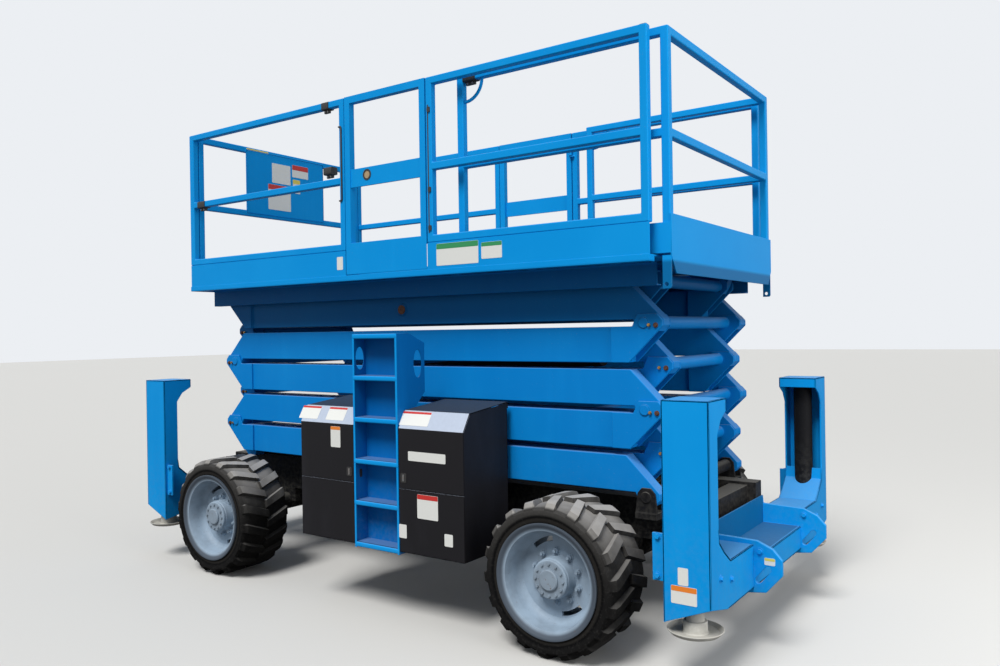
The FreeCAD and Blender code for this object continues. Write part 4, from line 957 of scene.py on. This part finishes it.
# Signs on the panel of the rear guardrail, which faces the front, and over it: x of the face,
# two corners in y and z, strip, its share
for face, low, high, strip, share in (
        (-1.880, (-0.157, 3.020), (0.042, 3.187), None, 0),
        (-1.880, (0.062, 3.098), (0.243, 3.205), "label_red", 0.4),
        (-1.880, (-0.200, 2.790), (0.042, 3.005), "label_red", 0.2),
        (-1.880, (0.068, 2.958), (0.150, 3.078), "label_yellow", 0.3),
        (-1.884, (-0.414, 3.243), (-0.190, 3.271), "label_yellow", 0.5)):
    label(PLATFORM, (face, 0, 0), (0, 1, 0), UPRIGHT, low, high, strip, share)


def bolts(name, body, finish, spots, direction, across, height):
    """Six-sided heads on washers at a list of spots."""
    head = bolt_head(across, height, across * 0.72)
    keep(name, body, finish, copies(head, [facing(direction, spot) for spot in spots]))


# Bolts of the end frames: flanges beside the legs, webs and tow plates, on all four corners
for end in (1, -1):
    for side in (-1, 1):
        for direction, spots in (
                ((end, 0, 0), [(LEG_FACE, 0.960, 0.523), (LEG_FACE, 0.814, 0.486)]),
                ((0, side, 0), [(2.021, 1.070, 0.717), (2.018, 1.070, 0.526),
                                (2.326, 0.467, 0.548)]),
                ((0, -side, 0), [(2.018, 0.442, 0.558), (2.022, 0.442, 0.467),
                                 (2.313, 0.442, 0.562)])):
            bolts("frame_bolts", CHASSIS, "blue",
                  [(end * x, side * y, z) for x, y, z in spots], direction, 0.026, 0.014)

# Grease fittings and lock bolts at the arms' front and rear pins, on the outer cheeks
FITTING = merged([prism(round_section(0.0065, 10), 0, 0.016, 2),
                  prism(round_section(0.0095, 6), 0.004, 0.009, 2)])
for end, pin_x in ((1, 1.780), (-1, -1.720)):
    for number in range(1, 5):
        inner = (number % 2 == 1) == (end > 0)
        reach, node = (0.5530, "inner_arm_%d") if inner else (0.6810, "outer_arm_%d")
        body = BODY_OF[node % number]
        height = LOWEST_PIN_Z + STAGE_HEIGHT * number
        for side in (-1, 1):
            out = (0, side, 0)
            spot = (pin_x + end * 0.034, side * reach, height - 0.012)
            keep("pin_fittings", body, "brass", copies(FITTING, [facing(out, spot)]))
            bolts("pin_locks", body, "rust",
                  [(pin_x + end * 0.072, side * reach, height - 0.014)], out, 0.020, 0.012)

# Centre pins: a rusty round end with a raised rim on every outer arm
PIN_END = [(0.0, 0.0), (0.030, 0.0), (0.031, 0.004), (0.026, 0.004), (0.025, 0.002), (0.0, 0.002)]
for stage in range(1, 6):
    height = LOWEST_PIN_Z + STAGE_HEIGHT * (stage - 0.5)
    for side in (-1, 1):
        keep("centre_pin_ends", BODY_OF["outer_arm_%d" % stage], "rust",
             turned([(radius, along * side) for radius, along in PIN_END],
                    (0.030, side * 0.6725, height), 24))


def clamp(body, along, height, reach, width):
    """A saddle clamp under a level tube: a rounded shell with a flange below and two bolts."""
    depth = 0.058
    for low, high, corner, half in (((-depth / 2, -depth / 2), (depth / 2, 0.0228), 0.010, 0.50),
                                    ((-0.009, -depth / 2 - 0.020), (0.009, 0.0), 0.004, 0.36)):
        points, faces = prism(round_corners(low, high, corner), along - width * half,
                              along + width * half, 0)
        keep("rail_clamps", body, "plastic", (points + (0.0, -reach, height), faces))
    bolts("rail_clamp_bolts", body, "steel",
          [(along + step * width, -reach - 0.009, height - depth / 2 - 0.011)
           for step in (-0.2, 0.2)], (0, -1, 0), 0.010, 0.006)


def bent_tube(name, body, finish, path_points, radius):
    """A round tube swept along a path."""
    keep(name, body, finish, swept(path_points, round_section(radius, 14)))


clamp(PLATFORM, -0.412, 3.257, 0.892, 0.064)
clamp(PLATFORM, -0.394, 2.819, 0.892, 0.074)
clamp(PLATFORM, -1.790, 2.735, 0.892, 0.086)
clamp(EXTENSION, 0.735, 3.257, 0.806, 0.090)
for word, side in SIDES:
    # a drop rod on the doubled post, hooked at both ends, and one beside the gate's hinges
    face = 0.9195 * side
    bent_tube("drop_rods", PLATFORM, "plastic",
              [(x, face, z) for x, z in ((-0.284, 3.092), (-0.266, 3.092), (-0.261, 3.084),
                                         (-0.261, 2.612), (-0.266, 2.603), (-0.284, 2.603))],
              0.0055)
    bent_tube("drop_rods", PLATFORM, "plastic",
              [(0.481, 0.913 * side, 3.110), (0.481, 0.913 * side, 2.330)], 0.005)
    for height in (3.080, 2.593, 2.359):
        clip = round_corners((0.479, height - 0.016), (0.501, height + 0.016), 0.006)
        keep("drop_rod_clips", PLATFORM, "plastic", prism(clip, side * 0.9148, side * 0.9225, 1))
    # a quarter ring under the top rail of the sliding guardrail
    angle = np.linspace(-np.pi / 2, 0, 12)
    handle = np.stack([0.690 + 0.125 * np.cos(angle), np.full(12, 0.806 * side),
                       3.238 + 0.125 * np.sin(angle)], axis=1)
    bent_tube("rail_handles", EXTENSION, "blue", handle, 0.010)
    # the gate's latch: an oval ring round a shallow cup
    gate = BODY_OF[word + "_gate"]
    hole = oval(-0.0415, 2.751, 0.0240, 0.0245)
    keep("gate_latches", gate, "plastic",
         solid_plate(oval(-0.0415, 2.751, 0.0355, 0.036), side * 0.9072, side * 0.9100, 1, [hole]))
    keep("gate_latch_cups", gate, "tan", prism(hole, side * 0.9071, side * 0.9078, 1))
    # a black plug in the open end of the front post
    low = (1.887, 0.892 * side - 0.020)
    keep("post_plugs", PLATFORM, "plastic",
         prism(round_corners(low, (low[0] + 0.040, low[1] + 0.040), 0.007), 3.2795, 3.28, 2))
    # a bracket with a lashing hole under the corner of the sliding deck's front plate
    tab = [(1.964, 1.930), (2.004, 1.930), (2.012, 1.940), (2.012, 2.100), (1.964, 2.100)]
    keep("front_plate_brackets", BODY_OF["extension_deck"], "blue",
         solid_plate(tab, side * 0.824, side * 0.834, 1, [oval(1.985, 1.952, 0.011, 0.011, 18)]))
    # hood latches: a dark cup with a turn handle near the foot of each hood's face
    for place, spot in (("rear", 0.005), ("front", 0.452)):
        body = BODY_OF["%s_%s_hood" % (word, place)]
        cup = round_corners((spot - 0.022, 0.842), (spot + 0.022, 0.898), 0.010)
        handle = round_corners((spot - 0.006, 0.850), (spot + 0.006, 0.890), 0.005)
        keep("hood_latches", body, "plastic", prism(cup, side * 1.1502, side * 1.1530, 1))
        keep("hood_latch_handles", body, "steel", prism(handle, side * 1.1528, side * 1.1556, 1))
    # a thin dark sheet of painted shade where a finger hole is in the rear side plate of the ladder
    slit = round_corners((side * 1.100 - 0.012, 0.832), (side * 1.100 + 0.012, 0.884), 0.011, 6)
    keep("ladder_slots", CHASSIS, "plastic", prism(slit, 0.0542, 0.0548, 0))

for (name, body, finish), parts in sorted(DETAILS.items()):
    place = "" if body == CHASSIS else "_on_" + body
    assembled(name + "_" + finish + place, parts, finish, body)
